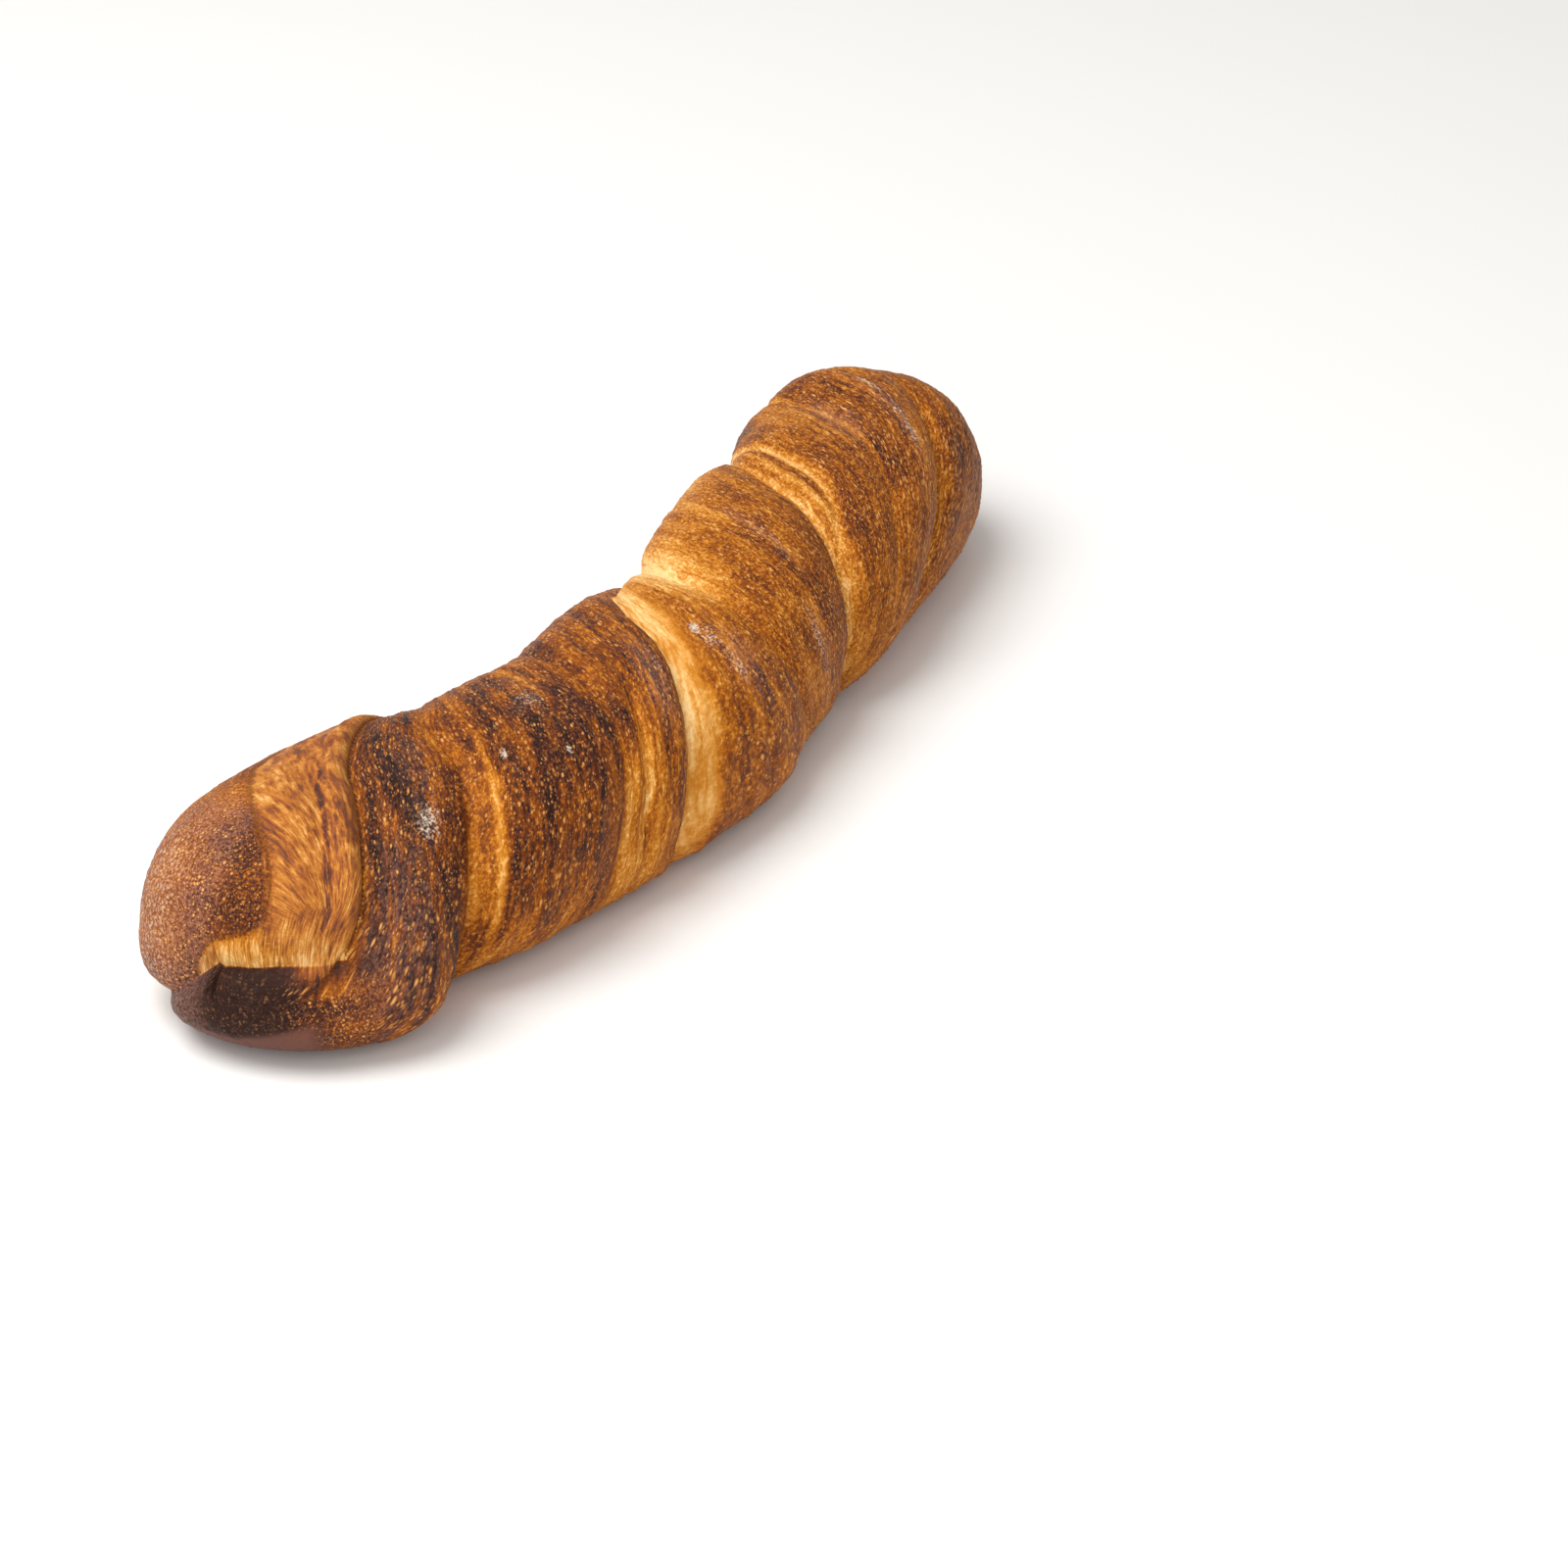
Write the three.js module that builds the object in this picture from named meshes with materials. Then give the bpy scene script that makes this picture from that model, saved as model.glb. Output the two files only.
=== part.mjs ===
// Twisted rustic loaf: one uncut roll of dough, twisted along its length before baking.
// Millimetres; the near, thicker end lies at -X, the far end at +X, the underside on z = 0.
import * as THREE from "three";

// Overall size of the smooth roll before its folds
const LENGTH = 409;
const HEIGHT_TO_WIDTH = 0.76;
const SECTION_POWER = 2.3;
const WIDEST_AT = 0.44;
const BASE_FLATTENING = 1.12;
const NEAR_CAP = 51;
const FAR_CAP = 40;
const SWELL = 1.6;

// The relief dies out toward the two tips and over the lowest millimetres above the base
const TIP_FADE = 3;
const BASE_FADE = 8;

// Half-widths at five places along the roll, near end to far end
const HALF_WIDTHS = [47.2, 43.6, 40.6, 43, 43.5];
const WIDTH_PLACES = [-0.85, -0.45, 0, 0.45, 0.85];
const WIDTH_BLEND = 0.36;

// The near end is lower: between the two places its underside lifts and its crown sinks
const NEAR_END = { lift: 1.5, sink: 4.5, from: -100, to: -165, crown: 72 };

// Sideways bend of the roll
const BOW = -31.4;
const SWAY = -14.4;
const HOOK = 9.5;

// Folds of the twist. Each runs round the roll: "at" is its place along the roll at the crown,
// "lean" how far it moves toward the near end per radian to the right-hand side, "curl" bends it
// back, "near" and "far" are how quickly its two walls rise, "side" makes it deeper to the right (+)
// or to the left (-), "from" and "to" are the degrees round from the crown between which it shows.
const FOLDS = [
  { at: -204, lean: 38, curl: 0, depth: 4.5, near: 9, far: 10, side: 0, from: -130, to: -75 },
  { at: -144.5, lean: 42, curl: 6, depth: 4.6, near: 4, far: 14, side: 0.4, from: -125, to: 100 },
  { at: -157, lean: 55, curl: 20, depth: 3.6, near: 7, far: 4, side: 0, from: -15, to: 64 },
  { at: -108, lean: 21, curl: 3, depth: 5.8, near: 10, far: 9, side: 0.9, from: -125, to: 150 },
  { at: -54, lean: 17, curl: 2, depth: 2.8, near: 10, far: 6, side: 0.6, from: -110, to: 120 },
  { at: -38, lean: 31, curl: 8, depth: 2.4, near: 5, far: 5, side: 0.4, from: 5, to: 110 },
  { at: -13.5, lean: 36, curl: 8.3, depth: 7, near: 4.5, far: 15, side: 0.1, from: -112, to: 125 },
  { at: 21, lean: 17, curl: 9, depth: 5.4, near: 11, far: 12, side: -0.3, from: -92, to: 115 },
  { at: 91.5, lean: 27.7, curl: 6.4, depth: 7.2, near: 9, far: 8, side: 0.3, from: -115, to: 120 },
  { at: 106.5, lean: 31, curl: -8.8, depth: 3, near: 6, far: 8, side: 0, from: -45, to: 50 },
  { at: 141, lean: 39, curl: 1, depth: 2.6, near: 10, far: 10, side: 0, from: -95, to: 80 },
  { at: 188, lean: 43, curl: 0, depth: 5, near: 10, far: 10, side: 0.4, from: 10, to: 125 },
  { at: -160, lean: 34, curl: 0, depth: 4.5, near: 10, far: 8, side: 0, from: -140, to: -84 },
  { at: -28, lean: 32, curl: 0, depth: 5, near: 10, far: 9, side: 0, from: -140, to: -84 },
  { at: 60, lean: 33, curl: 0, depth: 4.5, near: 10, far: 9, side: 0, from: -140, to: -84 },
];
const FOLD_FADE = 25;

// Raised lip of the first fold on the near end
const LIP = { at: -151, lean: 45, curl: 10, height: 2.4, width: 6, from: -50, to: 75 };

// Near end: a crease along the crisp top edge of a lower lobe that swells outward. Its line falls by
// "slope" to the left of "bend" and rises by "tilt" to the right. "over" and "under" are how quickly the
// crease rises above and below its line, "full" and "reach" how far in from the tip crease and lobe hold
// and then end; the crease also ends toward the right, at "right".
const LEDGE = {
  height: 31.3, slope: 1, bend: 2, tilt: 0.18, depth: 5, over: 11, under: 3, full: 12, reach: 40, right: -30,
};
const LEDGE_END = 8;
const LOWER_LOBE = { height: 14, spread: 13, swell: 4.6, full: 8, reach: 40 };

// Broad swells and hollows: place along, degrees round from the crown, height, length, degrees wide
const BULGES = [
  { at: -165, angle: 115, height: 6.5, along: 20, round: 25 },
  { at: -40, angle: 112, height: 2.6, along: 16, round: 25 },
  { at: 0, angle: 115, height: 5.5, along: 26, round: 25 },
  { at: 95, angle: 105, height: 1.4, along: 24, round: 28 },
  { at: 20, angle: -70, height: -3.4, along: 22, round: 28 },
  { at: 70, angle: -70, height: -3, along: 26, round: 28 },
  { at: 145, angle: -62, height: -3.2, along: 32, round: 28 },
];

// Slow unevenness of the hand-shaped dough
const LUMPS = [
  { height: 1.1, along: 46, turns: 1, phase: 0.4 },
  { height: 0.8, along: 29, turns: 2, phase: 2.1 },
  { height: 0.6, along: 19, turns: 3, phase: 4.0 },
];

// Mesh: rings follow the lean of the folds so that the fold lines stay clean, and crowd round the near tip
const BODY_RINGS = 70;
const NEAR_RINGS = 18;
const FAR_RINGS = 12;
const SIDES = 56;
const NEAR_CROWDING = 1.8;
const RING_LEAN = 27;
const RING_CURL = 5;

const CRUST_COLOUR = 0x8a5226;

const HALF = LENGTH / 2;
const { degToRad, radToDeg, smoothstep, lerp } = THREE.MathUtils;

// Half-width of the roll at t (-1 near end to 1 far end)
function halfWidth(t) {
  let sum = 0;
  let weight = 0;
  WIDTH_PLACES.forEach((place, i) => {
    const share = Math.exp(-(((t - place) / WIDTH_BLEND) ** 2));
    sum += share * HALF_WIDTHS[i];
    weight += share;
  });
  return sum / weight;
}

// How far into the nearer end cap a place lies: 0 in the body, 1 at the tip
function capDepth(x) {
  if (x < 0) return Math.max(0, 1 - (x + HALF) / NEAR_CAP);
  return Math.max(0, 1 - (HALF - x) / FAR_CAP);
}

// Share of the full section that is left at a place: 1 in the body, 0 at the tips
function capRadius(x) {
  const depth = Math.min(1, capDepth(x));
  return (1 - depth ** SECTION_POWER) ** (1 / SECTION_POWER);
}

// Sideways place of the spine and its slope
function spine(t) {
  const y = BOW * Math.cos((Math.PI * t) / 2) + SWAY * Math.sin(Math.PI * t)
    + HOOK * Math.sin(1.5 * Math.PI * t);
  const slope = (-BOW * 0.5 * Math.PI * Math.sin((Math.PI * t) / 2)
    + SWAY * Math.PI * Math.cos(Math.PI * t)
    + HOOK * 1.5 * Math.PI * Math.cos(1.5 * Math.PI * t)) / HALF;
  return { y, slope };
}

// 1 between the two angles, fading to 0 outside them
function span(angle, from, to) {
  const degrees = radToDeg(angle);
  const start = smoothstep(degrees, from - FOLD_FADE, from + FOLD_FADE);
  return start * (1 - smoothstep(degrees, to - FOLD_FADE, to + FOLD_FADE));
}

// Where a fold lies along the roll at an angle round it
const foldPlace = (fold, angle) => fold.at - fold.lean * angle + fold.curl * angle * angle;

function foldRelief(x, angle) {
  let relief = 0;
  for (const fold of FOLDS) {
    const off = x - foldPlace(fold, angle);
    const wall = off < 0 ? fold.near : fold.far;
    const strength = (1 + fold.side * Math.sin(angle)) * span(angle, fold.from, fold.to);
    relief -= fold.depth * strength * Math.exp(-Math.abs(off) / wall);
  }
  const off = x - foldPlace(LIP, angle);
  relief += LIP.height * span(angle, LIP.from, LIP.to) * Math.exp(-((off / LIP.width) ** 2));
  return relief;
}

function lumpRelief(x, angle) {
  let relief = 0;
  for (const bulge of BULGES) {
    const along = (x - bulge.at) / bulge.along;
    const round = (1 - Math.cos(angle - degToRad(bulge.angle))) / degToRad(bulge.round) ** 2;
    relief += bulge.height * Math.exp(-along * along - round);
  }
  for (const lump of LUMPS) {
    relief += lump.height * Math.sin(x / lump.along + lump.turns * angle + lump.phase);
  }
  return relief;
}

// Relief of the near end, from the place along, the offset to the left of the spine and the height
function nearEndRelief(x, y, z) {
  const inward = x + HALF;
  const line = LEDGE.height - LEDGE.slope * Math.max(0, y - LEDGE.bend) + LEDGE.tilt * Math.max(0, -y);
  const off = z - line;
  const wall = off > 0 ? LEDGE.over : LEDGE.under;
  const ledgeFade = (1 - smoothstep(inward, LEDGE.full, LEDGE.reach))
    * smoothstep(y, LEDGE.right - LEDGE_END, LEDGE.right + LEDGE_END);
  const lobeFade = 1 - smoothstep(inward, LOWER_LOBE.full, LOWER_LOBE.reach);
  const lobe = Math.exp(-(((z - LOWER_LOBE.height) / LOWER_LOBE.spread) ** 2));
  return LOWER_LOBE.swell * lobe * lobeFade - LEDGE.depth * Math.exp(-Math.abs(off) / wall) * ledgeFade;
}

const signedPower = (value, power) => Math.sign(value) * Math.abs(value) ** power;

// Point of the loaf at a place along it and an angle round from the crown, plus to the right
function loafPoint(x, angle) {
  const t = x / HALF;
  const width = halfWidth(t);
  const height = 2 * width * HEIGHT_TO_WIDTH;
  const middle = WIDEST_AT * height;
  const cap = capRadius(x);
  const across = signedPower(Math.sin(angle), 2 / SECTION_POWER);
  const upward = signedPower(Math.cos(angle), 2 / SECTION_POWER);
  const rise = upward > 0 ? height - middle : middle * BASE_FLATTENING;
  const capRise = upward > 0 ? cap : Math.sqrt(cap);
  const side = width * cap * across;
  const z = middle + rise * capRise * upward;

  const { y, slope } = spine(t);
  const run = 1 / Math.hypot(1, slope);
  const ahead = new THREE.Vector3(run, slope * run, 0);
  const right = new THREE.Vector3(slope * run, -run, 0);
  const point = new THREE.Vector3(x, y, z).addScaledVector(right, side);

  // Outward direction of the smooth roll
  const steep = SECTION_POWER - 1;
  const outward = new THREE.Vector3(0, 0, signedPower(cap * upward, steep) / rise)
    .addScaledVector(right, signedPower(cap * across, steep) / width)
    .addScaledVector(ahead, (Math.sign(x) * capDepth(x) ** steep) / (x < 0 ? NEAR_CAP : FAR_CAP))
    .normalize();

  const body = 1 - capDepth(x) ** TIP_FADE;
  const above = smoothstep(z, 0, BASE_FADE);
  const relief = SWELL + body * (foldRelief(x, angle) + lumpRelief(x, angle))
    + nearEndRelief(x, point.y - y, z);
  point.addScaledVector(outward, relief * above);
  const lowering = smoothstep(-x, -NEAR_END.from, -NEAR_END.to);
  const squash = 1 - (lowering * (NEAR_END.lift + NEAR_END.sink)) / NEAR_END.crown;
  point.z = lowering * NEAR_END.lift + Math.max(0, point.z) * squash;
  return point;
}

// Depth into an end cap at which a share of the full section is left
const depthAt = (share) => (1 - share ** SECTION_POWER) ** (1 / SECTION_POWER);

// Places of the rings along the roll, closer together round the two ends
function ringPlaces() {
  const places = [];
  for (let i = 0; i < NEAR_RINGS; i += 1) {
    const share = Math.sin((0.5 * Math.PI * i) / NEAR_RINGS) ** NEAR_CROWDING;
    places.push(-HALF + NEAR_CAP * (1 - depthAt(share)));
  }
  const bodyStart = -HALF + NEAR_CAP;
  const bodyEnd = HALF - FAR_CAP;
  for (let i = 0; i <= BODY_RINGS; i += 1) {
    places.push(lerp(bodyStart, bodyEnd, i / BODY_RINGS));
  }
  for (let i = 1; i <= FAR_RINGS; i += 1) {
    places.push(HALF - FAR_CAP * (1 - depthAt(Math.cos((0.5 * Math.PI * i) / FAR_RINGS))));
  }
  return places;
}

// The straight roll is turned on a lathe, then every vertex is carried to its place on the loaf
function loafGeometry() {
  const places = ringPlaces();
  const last = places.length - 1;
  const profile = places.map((x, i) => new THREE.Vector2(i === 0 || i === last ? 0 : capRadius(x), x));
  const geometry = new THREE.LatheGeometry(profile, SIDES, -Math.PI, 2 * Math.PI);
  const position = geometry.attributes.position;
  for (let i = 0; i < position.count; i += 1) {
    const angle = Math.atan2(position.getX(i), position.getZ(i));
    const straight = position.getY(i);
    const t = straight / HALF;
    const closing = (1 - (angle / Math.PI) ** 4) * (1 - t * t);
    const lean = closing * (RING_CURL * angle * angle - RING_LEAN * angle);
    const point = loafPoint(straight + lean, angle);
    position.setXYZ(i, point.x, point.y, point.z);
  }
  geometry.computeBoundingBox();
  const centre = geometry.boundingBox.getCenter(new THREE.Vector3());
  geometry.translate(-centre.x, -centre.y, 0);
  geometry.computeVertexNormals();
  return geometry;
}

const crust = new THREE.MeshStandardMaterial({ color: CRUST_COLOUR, roughness: 0.6, metalness: 0 });
const loaf = new THREE.Mesh(loafGeometry(), crust);
loaf.name = "loaf";

const group = new THREE.Group();
group.name = "twisted_rustic_loaf";
group.add(loaf);

export default group;
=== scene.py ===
"""Twisted rustic loaf: a crust of fine folds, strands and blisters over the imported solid, and its stage."""

import math
from collections import namedtuple

import bmesh
import bpy
import numpy as np
from mathutils import Matrix, Vector, noise


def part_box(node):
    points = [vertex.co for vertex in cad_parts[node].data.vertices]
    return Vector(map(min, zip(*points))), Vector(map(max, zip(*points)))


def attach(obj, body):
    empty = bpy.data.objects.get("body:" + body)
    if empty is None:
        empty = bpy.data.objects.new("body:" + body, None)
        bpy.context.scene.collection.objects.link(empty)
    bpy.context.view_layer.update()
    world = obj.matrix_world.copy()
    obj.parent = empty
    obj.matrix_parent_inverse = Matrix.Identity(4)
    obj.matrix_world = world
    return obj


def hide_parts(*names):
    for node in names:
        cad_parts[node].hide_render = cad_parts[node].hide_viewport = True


bl_info = {
    "name": "Twisted Rustic Loaf",
    "version": (1, 0, 0),
    "blender": (4, 5, 0),
    "location": "View3D > Sidebar > Loaf",
    "description": "Shapes and bakes a twisted rustic loaf and sets it on a plain studio stage",
    "category": "Add Mesh",
}

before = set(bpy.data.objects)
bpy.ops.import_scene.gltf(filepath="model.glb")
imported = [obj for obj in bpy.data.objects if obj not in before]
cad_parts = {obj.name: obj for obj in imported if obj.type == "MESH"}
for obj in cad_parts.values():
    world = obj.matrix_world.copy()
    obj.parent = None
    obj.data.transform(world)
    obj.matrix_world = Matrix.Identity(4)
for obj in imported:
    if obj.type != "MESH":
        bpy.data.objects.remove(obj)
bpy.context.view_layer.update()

# Blender works in metres; the loaf's own tables below are in millimetres
MM = 0.001

# The smooth roll before its folds
HEIGHT_TO_WIDTH = 0.76
SECTION_POWER = 2.3
WIDEST_AT = 0.44
BASE_FLATTENING = 1.12
SWELL = 1.6
HALF_WIDTHS = (47.2, 43.6, 40.6, 43.0, 43.5)
WIDTH_PLACES = (-0.85, -0.45, 0.0, 0.45, 0.85)
WIDTH_BLEND = 0.36

# The near end is lower: between the two places its underside lifts and its crown sinks
NearEnd = namedtuple("NearEnd", "lift sink start end crown")
NEAR_END = NearEnd(1.5, 4.5, -100, -165, 72)

# The relief dies out toward the two tips and over the lowest millimetres above the base
TIP_FADE = 3
BASE_FADE = 8.0

# Folds of the twist. "at" is a fold's place along the roll at the crown, "lean" how far it moves toward
# the near end per radian to the right, "curl" bends it back, "near" and "far" are how quickly its walls
# rise, "side" makes it deeper to the right (+) or left (-), and it shows from "start" to "end" degrees.
Fold = namedtuple("Fold", "at lean curl depth near far side start end")
BACK_FOLD = Fold(-204, 38, 0, 4.5, 9, 10, 0, -130, -75)
LIP_FOLD = Fold(-144.5, 42, 6, 4.6, 4, 14, 0.4, -125, 100)
PATCH_CREASE = Fold(-157, 55, 20, 3.6, 7, 4, 0, -15, 64)
FIRST_FOLD = Fold(-108, 21, 3, 5.8, 10, 9, 0.9, -125, 150)
SHALLOW_FOLD = Fold(-54, 17, 2, 2.8, 10, 6, 0.6, -110, 120)
AMBER_FOLD = Fold(-38, 31, 8, 2.4, 5, 5, 0.4, 5, 110)
CREAM_FOLD = Fold(-13.5, 36, 8.3, 7, 4.5, 15, 0.1, -112, 125)
NOTCH_FOLD = Fold(21, 17, 9, 5.4, 11, 12, -0.3, -92, 115)
FAR_FOLD = Fold(91.5, 27.7, 6.4, 7.2, 9, 8, 0.3, -115, 120)
FAR_CREASE = Fold(106.5, 31, -8.8, 3, 6, 8, 0, -45, 50)
LAST_FOLD = Fold(141, 39, 1, 2.6, 10, 10, 0, -95, 80)
TIP_FOLD = Fold(188, 43, 0, 5, 10, 10, 0.4, 10, 125)
LEFT_FOLDS = (
    Fold(-160, 34, 0, 4.5, 10, 8, 0, -140, -84),
    Fold(-28, 32, 0, 5, 10, 9, 0, -140, -84),
    Fold(60, 33, 0, 4.5, 10, 9, 0, -140, -84),
)
FOLDS = (
    BACK_FOLD, LIP_FOLD, PATCH_CREASE, FIRST_FOLD, SHALLOW_FOLD, AMBER_FOLD,
    CREAM_FOLD, NOTCH_FOLD, FAR_FOLD, FAR_CREASE, LAST_FOLD, TIP_FOLD, *LEFT_FOLDS,
)
FOLD_FADE = 25.0

# The folds that every strand of the dough runs along, near end to far end
GUIDES = (
    LIP_FOLD, FIRST_FOLD, SHALLOW_FOLD, CREAM_FOLD, NOTCH_FOLD, FAR_FOLD, LAST_FOLD, TIP_FOLD,
)

# Raised lip of the first fold on the near end
Lip = namedtuple("Lip", "at lean curl height width start end")
LIP = Lip(-151, 45, 10, 2.4, 6, -50, 75)

# Near end: a crease along the crisp top edge of a lower lobe that swells outward
Ledge = namedtuple("Ledge", "height slope bend tilt depth over under full reach right fade")
LEDGE = Ledge(31.3, 1, 2, 0.18, 5, 11, 3, 12, 40, -30, 8)
Lobe = namedtuple("Lobe", "height spread swell full reach")
LOWER_LOBE = Lobe(14, 13, 4.6, 8, 40)

# Broad swells and hollows: place along, degrees round from the crown, height, length, degrees wide
Bulge = namedtuple("Bulge", "at angle height along round")
BULGES = (
    Bulge(-165, 115, 6.5, 20, 25),
    Bulge(-40, 112, 2.6, 16, 25),
    Bulge(0, 115, 5.5, 26, 25),
    Bulge(95, 105, 1.4, 24, 28),
    Bulge(20, -70, -3.4, 22, 28),
    Bulge(70, -70, -3, 26, 28),
    Bulge(145, -62, -3.2, 32, 28),
)

# Slow unevenness of the hand-shaped dough
Lump = namedtuple("Lump", "height along turns phase")
LUMPS = (Lump(1.1, 46, 1, 0.4), Lump(0.8, 29, 2, 2.1), Lump(0.6, 19, 3, 4.0))

# Mesh: rings and sides of the sphere that becomes the crust, and how its rings follow the folds
SIDES = 220
RINGS = 430
NEAR_RINGS = 90
FAR_RINGS = 60
NEAR_CROWDING = 1.8
CROWN_CROWDING = 0.35
RING_LEAN = 27
RING_CURL = 5

# Strands of the dough are laid out on a roll of this radius
STRAND_RADIUS = 43.0

# Strands of the near end's patch fan out from the foot of its crease where the patch has more than this
# weight; "shift" sets their noise apart
Fan = namedtuple("Fan", "weight at angle spread shift")
FAN = Fan(0.5, -194, 66, 24, 7)

# Noise over the crust: its size, across, along and through the strands or the same all round, its share
# and its seed
Ripple = namedtuple("Ripple", "size share seed")
STRAND_RIPPLES = (Ripple((1.7, 9, 1), 1.0, 11.0), Ripple((5, 30, 1), 1.5, 12.0))
BLISTERS = Ripple(2.4, 1.0, 13.0)
UNEVENNESS = Ripple(13, 0.5, 14.0)

# Crisp edges where dough overlaps: height, the borders of the step and how far the swelling reaches
Edge = namedtuple("Edge", "height step reach")
LIP_EDGE = Edge(1.0, (-1.2, 0.4), 6)
CREAM_EDGE = Edge(1.6, (-1.2, 0.4), 6)
CREASE_EDGE = Edge(1.5, (-0.4, 1.4), 7)

# Beyond its own angles a crease counts as this far off, and gets there over these degrees
HIDDEN_CREASE = 40
CREASE_FADE = 10

# How strongly the crust is baked, from 0 for pale dough to 1 for scorched
BODY_BAKE = 0.6
UNDERSIDE_BAKE = 0.5
BAKE_RIPPLE = Ripple(34, 0.1, 3.0)

# Changes of the bake along the loaf
Shift = namedtuple("Shift", "amount start end")
BAKE_SHIFTS = (Shift(-0.06, -10, 40), Shift(0.04, 80, 110))

# The left side is toasted between two degrees, in streaks that lean with its folds and are drawn out
LeftToast = namedtuple("LeftToast", "bake lean stretch start end")
LEFT_TOAST = LeftToast(0.1, 33, 4, 50, 80)
LEFT_RIPPLE = Ripple(17, 0.24, 5.0)

# Toward the base both sides are baked alike between two degrees, the left some degrees lower
Foot = namedtuple("Foot", "bake strength start end left_delay")
FOOT = Foot(0.46, 0.7, 82, 118, 22)

# Baked places: unwound place along, degrees round, bake there, length along, degrees round, strength
Toast = namedtuple("Toast", "at angle bake along round strength")
TOASTED = (
    Toast(-130, 40, 0.76, 17, 130, 0.95),
    Toast(-138, 112, 0.78, 11, 22, 0.8),
    Toast(-136, 112, 0.5, 3, 5, 0.7),
    Toast(-142, 93, 0.42, 3, 5, 0.8),
    Toast(-128, 8, 0.83, 6, 34, 0.9),
    Toast(-118, -35, 0.7, 9, 30, 0.6),
    Toast(-108, -10, 0.56, 7, 30, 0.7),
    Toast(-78, 32, 0.75, 21, 44, 0.95),
    Toast(-70, -30, 0.52, 20, 25, 0.7),
    Toast(-88, 80, 0.66, 16, 25, 0.6),
    Toast(-60, 70, 0.66, 9, 25, 0.6),
    Toast(-52, 18, 0.74, 6, 34, 0.8),
    Toast(-30, 26, 0.63, 8, 34, 0.9),
    Toast(-40, 92, 0.38, 14, 20, 0.8),
    Toast(6, 42, 0.46, 10, 34, 0.8),
    Toast(0, 84, 0.54, 16, 26, 0.7),
    Toast(16, -26, 0.2, 16, 30, 0.9),
    Toast(48, 66, 0.38, 9, 30, 0.85),
    Toast(59, 11, 0.6, 4, 24, 0.9),
    Toast(54, -14, 0.36, 14, 20, 0.8),
    Toast(64, -52, 0.22, 18, 24, 0.9),
    Toast(150, -14, 0.64, 12, 28, 0.8),
    Toast(122, 14, 0.52, 10, 24, 0.8),
    Toast(129, -40, 0.36, 14, 20, 0.8),
    Toast(174, 30, 0.48, 16, 40, 0.9),
    Toast(120, 76, 0.48, 16, 24, 0.7),
)

# Places with a greyish layer that is part dust and part painted sheen, and floured ones, laid out as the
# baked ones but without a bake
Spot = namedtuple("Spot", "at angle along round strength")
DUST_AND_SHEEN_PLACES = (
    Spot(-132, 74, 14, 60, 0.7),
    Spot(-122, 10, 10, 40, 0.5),
    Spot(-76, -4, 14, 20, 0.45),
    Spot(-27, 26, 8, 28, 0.9),
    Spot(9, 46, 7, 30, 0.7),
    Spot(50, 74, 7, 28, 0.65),
    Spot(59, 11, 4, 24, 0.8),
    Spot(141, -4, 9, 22, 0.8),
    Spot(168, 18, 7, 34, 0.7),
)
FLOURED = (
    Spot(-122, 34, 4, 11, 0.62),
    Spot(-94, 21, 1, 3, 1.0),
    Spot(-74, 35, 1, 3, 1.0),
    Spot(-76, 3, 5, 7, 0.45),
    Spot(-23, 20, 3, 20, 0.3),
    Spot(2, 17, 2, 4, 1.0),
    Spot(4, 26, 4, 10, 0.5),
    Spot(6, 44, 2, 14, 0.5),
    Spot(47, 66, 4, 26, 0.45),
    Spot(170, 3, 2, 6, 0.7),
    Spot(168, 26, 3, 16, 0.55),
)

# Golden folds and two lines beside them: bake there, reach toward the near and the far end, first and
# last degree
Golden = namedtuple("Golden", "fold bake near far start end")
GOLDEN = (
    Golden(FIRST_FOLD, 0.59, 2, 11, -125, 50),
    Golden(FIRST_FOLD, 0.47, 2, 7, 40, 130),
    Golden(FIRST_FOLD._replace(at=-100), 0.24, 1.6, 1.6, 15, 110),
    Golden(SHALLOW_FOLD, 0.58, 2, 9, -110, 20),
    Golden(SHALLOW_FOLD, 0.32, 2, 12, 50, 120),
    Golden(AMBER_FOLD, 0.36, 2, 5, 30, 120),
    Golden(NOTCH_FOLD, 0.0, 8, 10, -110, 5),
    Golden(FAR_FOLD, 0.36, 2, 9, -115, 120),
    Golden(FAR_FOLD._replace(at=98.5), 0.2, 1.5, 1.5, -70, 45),
    Golden(FAR_CREASE, 0.08, 2, 3, -80, 35),
    Golden(LAST_FOLD, 0.26, 2.5, 2.5, -70, 15),
    Golden(LAST_FOLD, 0.42, 3, 3, 30, 90),
    Golden(TIP_FOLD, 0.4, 5, 4, 30, 125),
    *(Golden(fold, 0.34, 2, 8, fold.start, fold.end) for fold in LEFT_FOLDS),
)
GOLDEN_STRENGTH = 0.9

# Regions of the crust. A pair is a border: where it begins and where it is full. "depth" is the way into
# the near end's cap, 1 at its tip, "left" and "right" are ways left of the spine, "top" and "foot" heights
# above the ledge, "end" and "far" unwound places along, "low" and "turn" angles in radians, and "shown" is
# the first and last degree, for the patch with its fade.
# The dome's crust turns paler toward its left: painted light and sheen falling from that side
Dome = namedtuple("Dome", "bake strength depth end left left_change foot foot_left foot_change")
DOME = Dome(
    bake=0.76, strength=0.85, depth=(0.0, 0.3), end=(-178, -172),
    left=(-2, 22), left_change=-0.28, foot=(4, 24), foot_left=(2, 14), foot_change=0.16,
)
# The fibrous patch's border toward the dome moves inward, over degrees, to the right and to the left
Patch = namedtuple("Patch", "border before after right_shift right_turn left_shift left_turn shown end")
PATCH = Patch(
    border=-180, before=9, after=7, right_shift=26, right_turn=(20, 85),
    left_shift=40, left_turn=(30, 80), shown=(-75, 88, 10), end=(-140, -130),
)
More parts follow.
